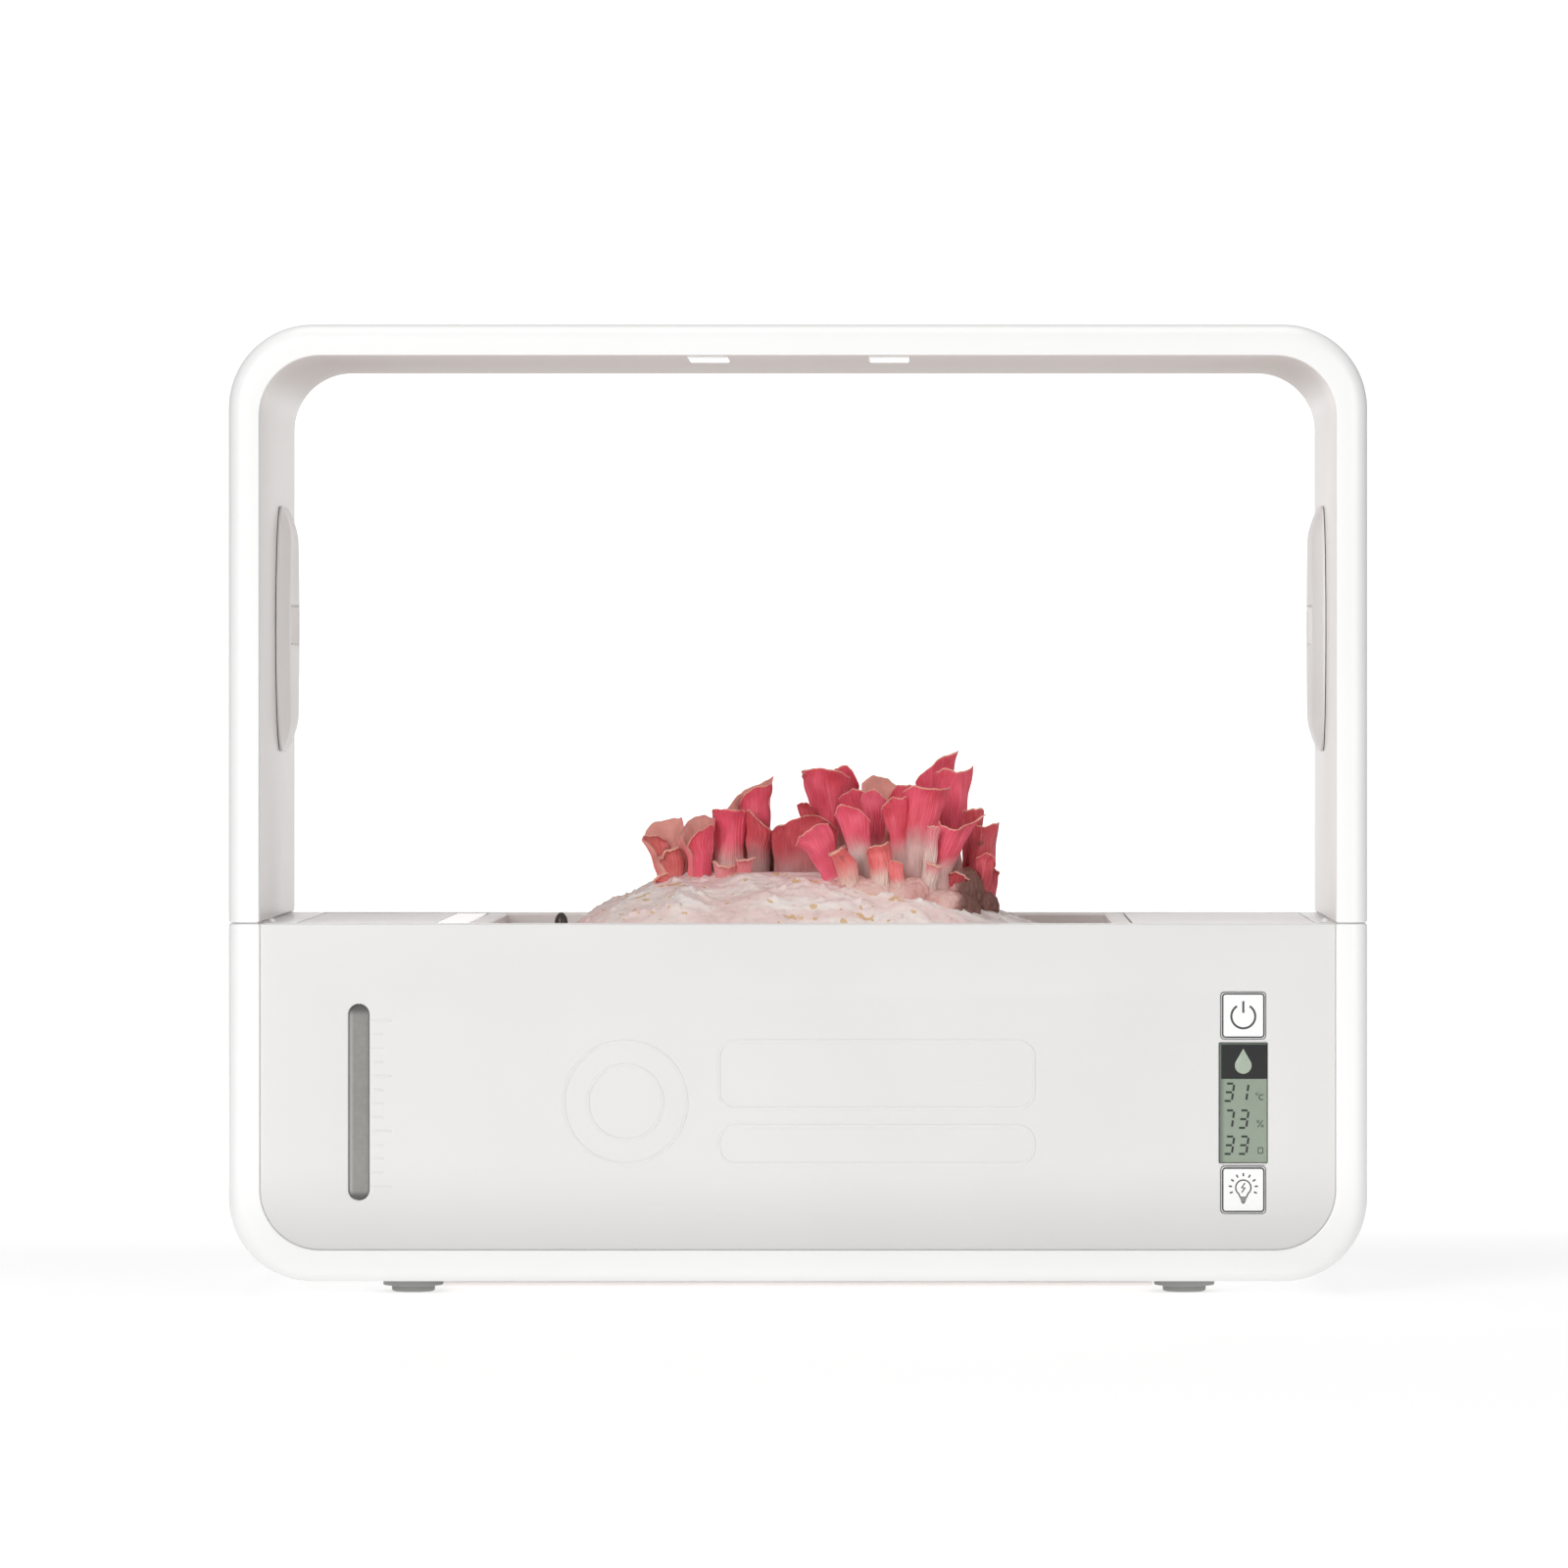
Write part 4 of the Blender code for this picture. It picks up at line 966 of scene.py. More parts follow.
    def build_side_cover(self, side: int) -> bpy.types.Object:
        """Swollen vent cover on an inner wall of the hood, with its slot let in.

        Along the height h from -1 to 1 the half depth is 0.35 plus 0.65 times the root of one
        minus h squared, and the swelling rises steeply from the rim to a flat top.
        """
        name = "side_cover_left" if side < 0 else "side_cover_right"
        low, high = corners(name)
        wall = low[0] if side < 0 else high[0]
        bulge = high[0] - low[0]
        middle, half = (low + high) / 2, (high - low) / 2
        h, a = np.meshgrid(np.linspace(-1.0, 1.0, 121), np.linspace(-1.0, 1.0, 65), indexing="ij")
        width = 0.35 + 0.65 * np.sqrt(np.maximum(1.0 - h ** 2, 0.0))
        fullness = np.minimum(1.0, 2.1 * (1.0 - h ** 2))
        plateau = np.minimum(1.0, 3.2 * (1.0 - np.abs(a)))
        rise = COVER_FOOT + (bulge - COVER_FOOT) * (1.0 - (1.0 - fullness * plateau) ** 1.5)
        y = middle[1] + a * width * half[1]
        z = middle[2] + h * half[2]
        slot_z = np.minimum(ease(0.2402, 0.2408, z), 1.0 - ease(0.2552, 0.2558, z))
        start, end, slope = low[1] + SLOT_MARGIN, high[1] - SLOT_MARGIN, 0.0008
        slot_y = np.minimum(ease(start, start + slope, y), 1.0 - ease(end - slope, end, y))
        rise = rise - (rise - SLOT_FLOOR) * slot_z * slot_y
        front = np.stack([wall - side * rise, y, z], axis=-1)
        back = np.stack([np.full_like(y, wall), y, z], axis=-1)
        cover = Pile().add(*slab(front, back)).build(
            name + "_skin", self.finishes["side_cover_grey"], sharp=50.0)
        return settle(cover, "cover_grey", name)

    def dress_flat_pieces(self) -> None:
        """Finish the frame's own flat pieces."""
        for finish, nodes in (("cover_grey", ("tank_lid", "control_cover", "water_tank")),
                              ("strip_grey", ("deck_strip", "bottom_plate")),
                              ("tray_grey", ("grow_tray",)),
                              ("lens_white", ("light_lens_left", "light_lens_right"))):
            for node in nodes:
                dress(node, self.finishes[finish])

    def build_small_turnings(self) -> List[bpy.types.Object]:
        """Hood pins, moisture probe and power inlet."""
        made = []
        for node in ("hood_pin_left", "hood_pin_right"):
            low, high = corners(node)
            radius, turn = (high[0] - low[0]) / 2, np.linspace(1.5, 0.0, 9)
            dome = np.column_stack([radius * np.cos(turn),
                                    low[2] + (high[2] - low[2]) * np.sin(turn)])
            profile = np.concatenate([dome, [(radius, low[2]), (AXIS / 2, low[2])]])
            made.append(self._turn(node, profile, "rim_white", 40))
        low, high = corners("moisture_probe")
        turn = np.linspace(1.55, -0.25, 14)
        head_z = high[2] - PROBE_HEAD
        dome = np.column_stack([(high[0] - low[0]) / 2 * np.cos(turn),
                                head_z + PROBE_HEAD * np.sin(turn)])
        stem = [(0.0012, head_z - 0.0014), (0.0012, low[2] + 0.001), (AXIS, low[2])]
        made.append(self._turn("moisture_probe", np.concatenate([dome, stem]), "dark_plastic", 40))
        low, high = corners("power_inlet")
        radius, bore, face, foot = (high[0] - low[0]) / 2, 0.0027, high[1], low[1]
        profile = softened([(AXIS, face - 0.0055), (bore, face - 0.0055), (bore, face),
                            (radius, face), (radius, foot), (AXIS, foot)], 0.25)
        made.append(self._turn("power_inlet", profile, "dark_plastic", 48, "Y"))
        return made


# ------------------------------------------------------------------------------ front details
@dataclass
class FrontDetails:
    """What is moulded and printed on the front: level marks, plain relief, keys and display."""

    satin: bpy.types.Material
    white: bpy.types.Material
    relief_height: float = 0.00045
    relief_width: float = 0.0014
    bar_round: float = 0.0060
    border_inset: float = 0.0005
    border_radius: float = 0.0011
    digit_gap: float = 0.14
    digit_lean: float = 0.14
    mark_count: int = 13
    marks_top: float = 0.1012
    marks_bottom: float = 0.0401
    long_mark: float = 0.0071
    short_mark: float = 0.0041
    half_mark: float = 0.00045

    def __post_init__(self) -> None:
        """Read the face of the panel and mix the inks."""
        self.face = corners("front_panel")[0][1]
        self.ink = Ink("key_ink", (0.050, 0.050, 0.052)).build()
        self.segment = Ink("segment_black", (0.020, 0.026, 0.020), 0.3).build()
        self.pale_segment = Ink("segment_pale", (0.330, 0.380, 0.310), 0.35).build()

    def build_level_marks(self) -> bpy.types.Object:
        """Raised marks beside the level window, every fourth one longer."""
        start = corners("level_window")[1][0] + 0.0014
        marks = Pile()
        for number, z in enumerate(np.linspace(self.marks_top, self.marks_bottom, self.mark_count)):
            length = self.short_mark if number % 4 else self.long_mark
            outline = rounded_rectangle((start, z - self.half_mark),
                                        (start + length, z + self.half_mark), 0.00042, 4)
            marks.add(pad(outline, self.face, 0.00028, 0.00022))
        return settle(marks.build("level_marks", self.satin), "panel_satin")

    def build_plain_relief(self) -> bpy.types.Object:
        """Plain relief in the middle of the panel: a disc ring and two round-ended bars."""
        relief = Pile()
        centre = (-0.0635, 0.0712)
        for radius in (0.0226, 0.0138):
            relief.add(self._raised_line(arc(centre, radius, 0.0, 360.0, 96)[:-1]))
        for low, high in ((0.0690, 0.0938), (0.0486, 0.0625)):
            relief.add(self._raised_line(
                rounded_rectangle((-0.0290, low), (0.0870, high), self.bar_round, 10)))
        return settle(relief.build("plain_relief", self.satin), "panel_satin")

    def _raised_line(self, path: np.ndarray) -> Surface:
        """A round-backed raised line: half a wave of height carried along a closed path."""
        ahead = np.roll(path, -1, axis=0) - np.roll(path, 1, axis=0)
        ahead /= np.linalg.norm(ahead, axis=1, keepdims=True)
        normal = np.stack([-ahead[:, 1], ahead[:, 0]], axis=1)
        across = np.linspace(-1.0, 1.0, 9)
        lift = self.relief_height * np.cos(across * math.pi / 2) ** 0.8 - 0.00004
        across = np.concatenate([across, [0.0]])
        lift = np.concatenate([lift, [-0.0002]])
        flat = path[:, None, :] + normal[:, None, :] * (across * self.relief_width / 2)[None, :, None]
        points = facing(flat, self.face, np.broadcast_to(lift, flat.shape[:2]))
        return Surface(points, wrap_columns=True, wrap_rows=True)

    def _key(self, node: str) -> Tuple[np.ndarray, float, Surface]:
        """Middle and face depth of a key, and the border printed near its edge."""
        low, high = corners(node)
        middle, half = (low + high)[[0, 2]] / 2, (high - low)[[0, 2]] / 2 - self.border_inset
        border = rounded_rectangle(tuple(middle - half), tuple(middle + half), self.border_radius, 6)
        return middle, low[1], stroke(border, 0.00062, low[1], INK_HEIGHT, True)

    def build_power_symbol(self) -> bpy.types.Object:
        """Border of the power key and its broken ring with a bar."""
        middle, face, border = self._key("power_key")
        ring = arc((middle[0], middle[1] - 0.0003), 0.0044, 122.0, 418.0, 60)
        bar = middle + np.array([(0.0, 0.0010), (0.0, 0.0053)])
        symbol = Pile().add(border, *(stroke(path, 0.00078, face, INK_HEIGHT) for path in (ring, bar)))
        return settle(symbol.build("power_symbol", self.ink), "key_white")

    def build_light_symbol(self) -> bpy.types.Object:
        """Border of the light key and a bulb with short rays."""
        middle, face, border = self._key("light_key")
        centre = middle + (0.0, 0.0008)
        neck = centre + np.array([(-0.0011, -0.0036), (0.0011, -0.0036)])
        bulb = np.concatenate([arc(tuple(centre), 0.0028, -52.0, 232.0, 40), neck])
        symbol = Pile().add(border, stroke(bulb, 0.00050, face, INK_HEIGHT, True))
        for angle in np.radians(np.linspace(-22.0, 202.0, 9)):
            ray = centre + np.outer((0.0042, 0.0054), (math.cos(angle), math.sin(angle)))
            symbol.add(stroke(ray, 0.00058, face, INK_HEIGHT))
        bolt = centre + np.array([(0.0006, 0.0017), (-0.0006, 0.0), (0.0006, -0.0001),
                                  (-0.0006, -0.0018)])
        symbol.add(stroke(bolt, 0.00046, face, INK_HEIGHT))
        for drop, wide in ((-0.0043, 0.0011), (-0.0050, 0.0009), (-0.0056, 0.0005)):
            cap = centre + np.array([(-wide, drop), (wide, drop)])
            symbol.add(stroke(cap, 0.00050, face, INK_HEIGHT))
        return settle(symbol.build("light_symbol", self.ink), "key_white")

    def _digit(self, number: str, origin: np.ndarray, size: np.ndarray, face: float) -> List[Surface]:
        """Seven-segment digit leaning right, with short gaps between its segments."""
        lit = {"1": "bc", "3": "abgcd", "7": "abc"}[number]
        ends = {"a": ((0, 2), (1, 2)), "b": ((1, 2), (1, 1)), "c": ((1, 1), (1, 0)),
                "d": ((0, 0), (1, 0)), "g": ((0, 1), (1, 1))}
        strokes = []
        for letter in lit:
            start, end = (np.array(p, dtype=float) for p in ends[letter])
            gap = self.digit_gap * (end - start)
            flat = np.stack([start + gap, end - gap]) * (size[0], size[1] / 2)
            flat[:, 0] += self.digit_lean * flat[:, 1]
            strokes.append(stroke(origin + flat, 0.00078, face, SEGMENT_HEIGHT))
        return strokes

    def build_display(self) -> List[bpy.types.Object]:
        """Readings in dark segments, small unit signs and a drop on the dark block."""
        low, high = corners("display")
        face = low[1]
        dress("display", DisplayFace("display_face", high[2], low[0], high[2] - 0.0132).build())
        left = low[0] + 0.0014
        readings = Pile()
        size = np.array([0.0031, 0.0064])
        for text, base in (("31", high[2] - 0.0213), ("73", high[2] - 0.0312), ("33", high[2] - 0.0408)):
            for place, number in enumerate(text):
                origin = np.array([left + place * 0.0053, base])
                readings.add(*self._digit(number, origin, size, face))
        unit_x = high[0] - 0.0030
        first, second, third = high[2] - 0.0211, high[2] - 0.0310, high[2] - 0.0406
        degree = arc((unit_x - 0.0007, first + 0.0024), 0.00038, 0.0, 360.0, 16)[:-1]
        letter = arc((unit_x + 0.0011, first + 0.0012), 0.00095, 55.0, 305.0, 18)
        slash = np.array([(unit_x - 0.0004, second), (unit_x + 0.0015, second + 0.0026)])
        dots = [arc((unit_x + right, second + up), 0.00042, 0.0, 360.0, 14)[:-1]
                for right, up in ((-0.0002, 0.0021), (0.0013, 0.0005))]
        square = rounded_rectangle((unit_x - 0.0002, third), (unit_x + 0.0015, third + 0.0021),
                                   0.0003, 3)
        for path, width, closed in ((degree, 0.0002, True), (letter, 0.00034, False),
                                    (slash, 0.0003, False), (dots[0], 0.00024, True),
                                    (dots[1], 0.00024, True), (square, 0.00030, True)):
            readings.add(stroke(path, width, face, SEGMENT_HEIGHT, closed))
        centre = np.array([(low[0] + high[0]) / 2, high[2] - 0.0082])
        drop = np.concatenate([arc(tuple(centre), 0.0031, -215.0, 35.0, 40),
                               [centre + (0.0, 0.0062)]])
        piles = ((readings, "display_readings", self.segment),
                 (Pile().add(pad(drop, face, SEGMENT_HEIGHT, 0.00005)), "display_drop",
                  self.pale_segment))
        return [settle(pile.build(name, ink), "display_glass") for pile, name, ink in piles]

    def dress_windows(self) -> None:
        """Finish the level window and the keys' own faces."""
        low, high = corners("level_window")
        dress("level_window", LevelGlass("level_glass", low[2], high[2], low[0]).build())
        for node in ("power_key", "light_key"):
            dress(node, self.white)


# ------------------------------------------------------------------------------ growing block
@dataclass
class GrowingBlock:
    """The mounded block in the tray, under its wrinkled film."""

    columns: int = 271
    rows: int = 181
    shoulder: float = 0.1180
    crown: float = 0.1545
    centre_x: float = 0.003
    half_x: float = 0.105
    half_y: float = 0.080
    along_power: float = 3.2
    across_power: float = 2.8
    dip: float = 0.0040

    def height(self, x: np.ndarray, y: np.ndarray) -> np.ndarray:
        """Height of the mound.

        The shoulder plus the crown's rise times one minus the 3.2th power of the share along and
        one minus the 2.8th power of the share across, less a shallow dip near the right end.
        """
        along = np.minimum(1.0, np.abs(x - self.centre_x) / self.half_x)
        across = np.minimum(1.0, np.abs(y) / self.half_y)
        dip = self.dip * ease(0.050, 0.068, x) * (1 - ease(0.074, 0.094, x)) * (1 - across ** 2)
        dome = (1 - along ** self.along_power) * (1 - across ** self.across_power)
        return self.shoulder + (self.crown - self.shoulder) * dome - dip

    def build(self) -> bpy.types.Object:
        """Lay the film over the mound: swells, folds where a wave crosses zero, and fine creases."""
        low, high = corners("substrate_block")
        x, y = np.meshgrid(np.linspace(low[0], high[0], self.columns),
                           np.linspace(low[1], high[1], self.rows), indexing="ij")
        base = self.height(x, y)
        place = np.stack([x, y, base], axis=-1)
        leaning = place * (0.7, 1.0, 1.6)
        edge = ease(0.0, 0.012, np.minimum(np.minimum(x - low[0], high[0] - x),
                                           np.minimum(y - low[1], high[1] - y)))
        fold = np.exp(-np.abs(wobble(leaning, 0.020, 5)) * 7.0)
        crease = np.exp(-np.abs(wobble(leaning, 0.0075, 6, 14)) * 5.0)
        grains = np.maximum(wobble(place, 0.0042, 7, 20), 0.0)
        lift = (0.0016 * wobble(place, 0.030, 3) + 0.0012 * fold + 0.0005 * crease
                + 0.0004 * grains + 0.00014 * wobble(place, 0.0016, 8, 24))
        calm = 1.0 - 0.6 * ease(0.048, 0.066, x)
        top = place + np.stack([0.0006 * wobble(place, 0.012, 9) * edge,
                                0.0006 * wobble(place, 0.012, 10) * edge,
                                np.minimum(lift * (0.25 + 0.75 * edge) * calm, high[2] - base)], axis=-1)
        bottom = np.stack([x, y, np.full_like(x, low[2])], axis=-1)
        piece = Pile().add(*slab(top, bottom)).build(
            "wrinkled_block", Mycelium("substrate").build(), sharp=70.0)
        return settle(piece, "substrate", "substrate_block")


# ------------------------------------------------------------------------------ mushrooms
class Tone(Enum):
    """Flesh tones as (outer face, its shadows, inner face, stem)."""

    RED = ((0.880, 0.105, 0.175), (0.720, 0.062, 0.100), (0.700, 0.270, 0.230), (0.880, 0.600, 0.560))
    BRIGHT = ((0.930, 0.140, 0.225), (0.820, 0.085, 0.145), (0.700, 0.260, 0.220),
              (0.900, 0.700, 0.650))
    ORANGE = ((0.870, 0.190, 0.190), (0.770, 0.120, 0.120), (0.740, 0.320, 0.250),
              (0.900, 0.640, 0.560))
    SALMON = ((0.760, 0.175, 0.165), (0.620, 0.110, 0.110), (0.800, 0.330, 0.280),
              (0.800, 0.530, 0.460))
    # The stem entry of WINE is a dark mauve that serves as painted shade low in the clusters.
    WINE = ((0.700, 0.085, 0.115), (0.500, 0.055, 0.070), (0.640, 0.300, 0.270),
            (0.520, 0.300, 0.285))
    PINK = ((0.860, 0.340, 0.360), (0.800, 0.200, 0.240), (0.720, 0.350, 0.310),
            (0.900, 0.680, 0.620))


@dataclass(frozen=True)
class Sheet:
    """One cupped sheet of a mushroom; lengths in millimetres, angles in degrees."""

    foot: Place
    rim: Place
    width: float
    facing: float = 0.0
    edge: Tuple[float, float, float, float, float] = (-2.0, -0.3, 0.0, -0.3, -2.0)
    cup: float = 66.0
    fullness: float = 1.0
    lip: float = 0.5
    stem: float = 0.0
    ruffle: float = 0.25
    seed: int = 0

    def _spine(self, t: np.ndarray) -> Tuple[np.ndarray, np.ndarray]:
        """Points and unit directions of a curve that leaves the foot upright and bends to the rim."""
        start, end = np.array(self.foot, dtype=float), np.array(self.rim, dtype=float)
        bend = start + (end - start) * (0.15, 0.15, 0.6)
        t = t[:, None]
        points = (1 - t) ** 2 * start + 2 * t * (1 - t) * bend + t ** 2 * end
        along = 2 * (1 - t) * (bend - start) + 2 * t * (end - bend)
        return points, along / np.linalg.norm(along, axis=1, keepdims=True)

    def surface(self, columns: int, rows: int) -> Surface:
        """Closed skin of the sheet.

        At a share t of the way up, the outer side is an arc of the cup's half angle whose chord
        grows from the stem's width to the cap's by t to the fullness. The edge's heights, a lip
        that turns out near the rim, ruffles and flutes are added; the inner side lies behind it
        by a thickness that thins towards the rim and both edges.
        """
        t = np.linspace(0.0, 1.0, rows) ** 0.9
        u = np.linspace(-1.0, 1.0, columns)
        spine, along = self._spine(t)
        turn = math.radians(self.facing)
        outward = np.array([math.sin(turn), -math.cos(turn), 0.0])
        side = np.cross(along, outward)
        side /= np.linalg.norm(side, axis=1, keepdims=True)
        out = np.cross(side, along)
        stem = self.stem or 0.15 * self.width + 1.0
        half = stem + (self.width / 2 - stem) * t ** (1.1 / self.fullness)
        cup = math.radians(self.cup)
        radius = half / math.sin(min(cup, math.pi / 2))
        sweep = u * cup
        sideways = radius[:, None] * np.sin(sweep)
        inward = radius[:, None] * (1 - np.cos(sweep))
        rim = np.interp(u, (-1, -0.5, 0, 0.5, 1), self.edge)
        rim = np.convolve(np.pad(rim, 5, mode="edge"), np.hanning(13)[1:-1] / 6.0, mode="valid")
        lifted = rim[None, :] * (t ** 2.2)[:, None]
        roll = ease(0.82, 1.0, t) ** 1.6
        curl = self.lip * 1.9 * roll
        drop = self.lip * 0.55 * ease(0.93, 1.0, t)
        chance = np.random.default_rng(self.seed + int(self.width * 10))
        phase = chance.uniform(0, 2 * math.pi, 4)
        near = (t ** 3)[:, None]
        waves = self.ruffle * self.width / 14 * (
            np.sin(u * 7.0 + phase[0]) + 0.6 * np.sin(u * 13.0 + phase[1])) * near
        crown = 0.16 * (np.sin(u * 9.0 + phase[2]) + 0.6 * np.sin(u * 17.0 + phase[3])) * near
        push = curl[:, None] + waves - inward
        outer = (spine[:, None, :] + side[:, None, :] * sideways[..., None]
                 + out[:, None, :] * push[..., None]
                 + along[:, None, :] * (lifted + crown - drop[:, None])[..., None])
        outer += outward * (RIM_LEAN * self.width * t ** 3)[:, None, None]
        outer += 0.5 * np.stack([wobble(outer, 10.0, self.seed + k) for k in (1, 2, 3)], axis=-1)
        down = np.gradient(outer, axis=0)
        across = np.gradient(outer, axis=1)
        normal = np.cross(across, down)
        normal /= np.maximum(np.linalg.norm(normal, axis=-1, keepdims=True), 1e-9)
        flutes = FLUTE_HEIGHT * np.sin(u * self.width * 2.6 + phase[0]) * ease(0.12, 0.5, t)[:, None]
        thick = (stem * 1.25) * (1 - t) ** 1.4 + RIM_THICKNESS
        thick = thick * np.sqrt(np.clip((1.0 - t) / 0.035, 0.0, 1.0))
        thick = thick[:, None] * np.sqrt(np.clip((1.0 - np.abs(u)) / 0.10, 0.0, 1.0))[None, :]
        inner = outer - normal * thick[..., None]
        closing = (thick > 1e-6) * 1.0
        outer = outer + normal * (flutes * closing)[..., None]
        ring = np.concatenate([outer, inner[:, -2:0:-1]], axis=1) * MM
        across_map = np.concatenate([u, u[-2:0:-1]])
        maps = np.stack(np.meshgrid((across_map * 0.5 + 0.5) * self.width / 50.0 + self.seed * 0.13,
                                    t), axis=-1)
        inside = np.zeros(ring.shape[:2])
        inside[:, columns:] = 1.0
        return Surface(ring, wrap_columns=True, cap_rows=False, maps=maps, inner=inside)


@dataclass(frozen=True)
class Mushroom:
    """One mushroom: its sheets, their tone and how far up its stem is pale."""

    tone: Tone
    sheets: Tuple[Sheet, ...]
    stem_end: float = 0.22
    stem_fade: float = 0.50
    blemish: float = 0.4

    def build(self, label: str, columns: int, rows: int, finishes: Finishes) -> bpy.types.Object:
        """Build the sheets as one piece.

        Args:
            label: cluster and number, as in left_1.
            columns: points across a sheet.
            rows: points from foot to rim.
            finishes: finishes made so far, by tone and stem.

        Returns:
            The piece, standing for its CAD node.
        """
        key = (self.tone, self.stem_end, self.stem_fade, self.blemish)
        if key not in finishes:
            name = f"flesh_{self.tone.name.lower()}_{len(finishes)}"
            finishes[key] = Tissue(name, *self.tone.value, self.stem_end, self.stem_fade,
                                   self.blemish).build()
        pile = Pile().add(*(sheet.surface(columns, rows) for sheet in self.sheets))
        piece = pile.build(f"cap_{label}", finishes[key], sharp=FLESH_SHARP)
        return settle(piece, "cap_tissue", f"mushroom_{label}")


@dataclass
class MushroomCluster:
    """A knot and the mushrooms that grow from it; lengths in millimetres."""

    side: str
    centre: Place
    radii: Place
    mushrooms: Tuple[Mushroom, ...]
    flesh: KnotFlesh
    lumps: Tuple[Tuple[Place, Place], ...] = ()
    columns: int = 41
    rows: int = 61

    def build_knot(self) -> bpy.types.Object:
        """The knot: an ellipsoid pushed in and out by two sizes of swell."""
        rise = np.linspace(-math.pi / 2, math.pi / 2, self.rows)[:, None]
        turn = np.linspace(0.0, 2.0 * math.pi, 120, endpoint=False)[None, :]
        ball = np.stack([np.cos(rise) * np.cos(turn), np.cos(rise) * np.sin(turn),
                         np.sin(rise) * np.ones_like(turn)], axis=-1)
        lumps = 1.0 + 0.06 * wobble(ball, 1.1, 21) + 0.045 * wobble(ball * (1, 1, 0.4), 0.22, 22, 24)
        skins = [Surface((np.array(centre) + ball * radii * lumps[..., None]) * MM, wrap_columns=True)
                 for centre, radii in ((self.centre, self.radii), *self.lumps)]
        name = f"cluster_base_{self.side}"
        piece = Pile().add(*skins).build(name + "_knot", self.flesh.build(), sharp=FLESH_SHARP)
        return settle(piece, "stem_tissue", name)

    def build(self, finishes: Finishes) -> List[bpy.types.Object]:
        """The knot and every mushroom."""
        return [self.build_knot(),
                *(mushroom.build(f"{self.side}_{number}", self.columns, self.rows, finishes)
                  for number, mushroom in enumerate(self.mushrooms, 1))]


LEFT_MUSHROOMS = (
    Mushroom(Tone.SALMON, (
        Sheet((-49, -6, 148), (-53.6, -8, 173), 17.5, 184, (-0.3, 0.3, 0.2, -0.6, -3.6), 60, 1.5, seed=1),
        Sheet((-48, -11, 148), (-49.8, -15, 163.4), 9.4, 0, (-5, -1.6, 0.6, 0.2, -1.2), 66, 1.6, 0.9,
              seed=2),
        Sheet((-51, -10, 148), (-56.6, -14, 169.2), 8.5, -16, (-1, 0.6, 0.4, -2, -5.5), 74, 1.3, 0.8,
              seed=3),
        Sheet((-51, -17, 146), (-53.4, -20, 153.4), 5.4, -5, stem=2, seed=4)), 0.06, 0.22),
    Mushroom(Tone.RED, (
        Sheet((-38, -9, 148), (-39.6, -11, 175.4), 14.5, 180, (-1.5, 0, 0.2, -2, -6.5), 62, 1.4, seed=5),
        Sheet((-37, -14, 148), (-37.6, -18, 172.4), 10.5, 0, (-9.5, -4.6, -1, 0.5, 0.2), 62, 1.5, seed=6)),
              0.06, 0.22),
    Mushroom(Tone.RED, (
        Sheet((-27.5, -8, 147), (-27, -9.5, 178.6), 12.6, 0, (-1.6, 0.1, 0.5, 0.1, -1.2), 78, 2.2, 0.6,
              stem=4.2, seed=7),), 0.26, 0.56),
    Mushroom(Tone.WINE, (
        Sheet((-16, -7, 146), (-15, -8, 175.6), 11, 4, (2.6, 1.4, -1.4, -5, -8.6), 66, 1.8, stem=3.4,
              seed=8),), 0.3, 0.7),
    Mushroom(Tone.RED, (
        Sheet((-19, 5, 148), (-19.4, 4, 186.6), 17.5, 180, (4.4, 2, -0.2, -2.6, -8), 64, 1.5, seed=9),
        Sheet((-16.5, -1, 148), (-17.4, -3, 186), 12.6, 0, (-5.6, -1.4, 0.8, 1.6, 1.8), 72, 1.5, seed=10))),
    Mushroom(Tone.PINK, (
        Sheet((-29, -19, 147), (-29, -24, 158), 9.4, -8, cup=60, seed=11),
        Sheet((-22, -19, 147), (-20.8, -24, 159.6), 8.4, 8, (-2, -0.8, 0, 0.8, 0.4), cup=60, seed=12))),
    # Back stems and undersides between the clusters: two broad sheets mostly in WINE's dark mauve stem
    # tone, which is painted shade.
    Mushroom(Tone.WINE, (
        Sheet((-3, 6, 144), (-3, 5, 167.5), 30, 0, (-3.6, -0.2, 0.2, 0.3, 0.6), 40, 2.4, stem=14.5,
              seed=13),
        Sheet((-22, 5, 144), (-22, 4, 164.5), 30, 0, (0, 0, 0.4, 0, 0), 40, 2.4, stem=14, seed=14),
        Sheet((-9, 2, 148), (-9.2, 0, 171), 6.4, 0, (-3, -0.6, 0.6, -1, -3), 60, 1.6, seed=17)), 0.4, 1.05),
    Mushroom(Tone.SALMON, (
        Sheet((-43, 6, 148), (-46.5, 9, 168), 14, 205, seed=15),)),
    Mushroom(Tone.SALMON, (
        Sheet((-31, 14, 148), (-30, 20, 174), 16, 180, seed=16),)),
)

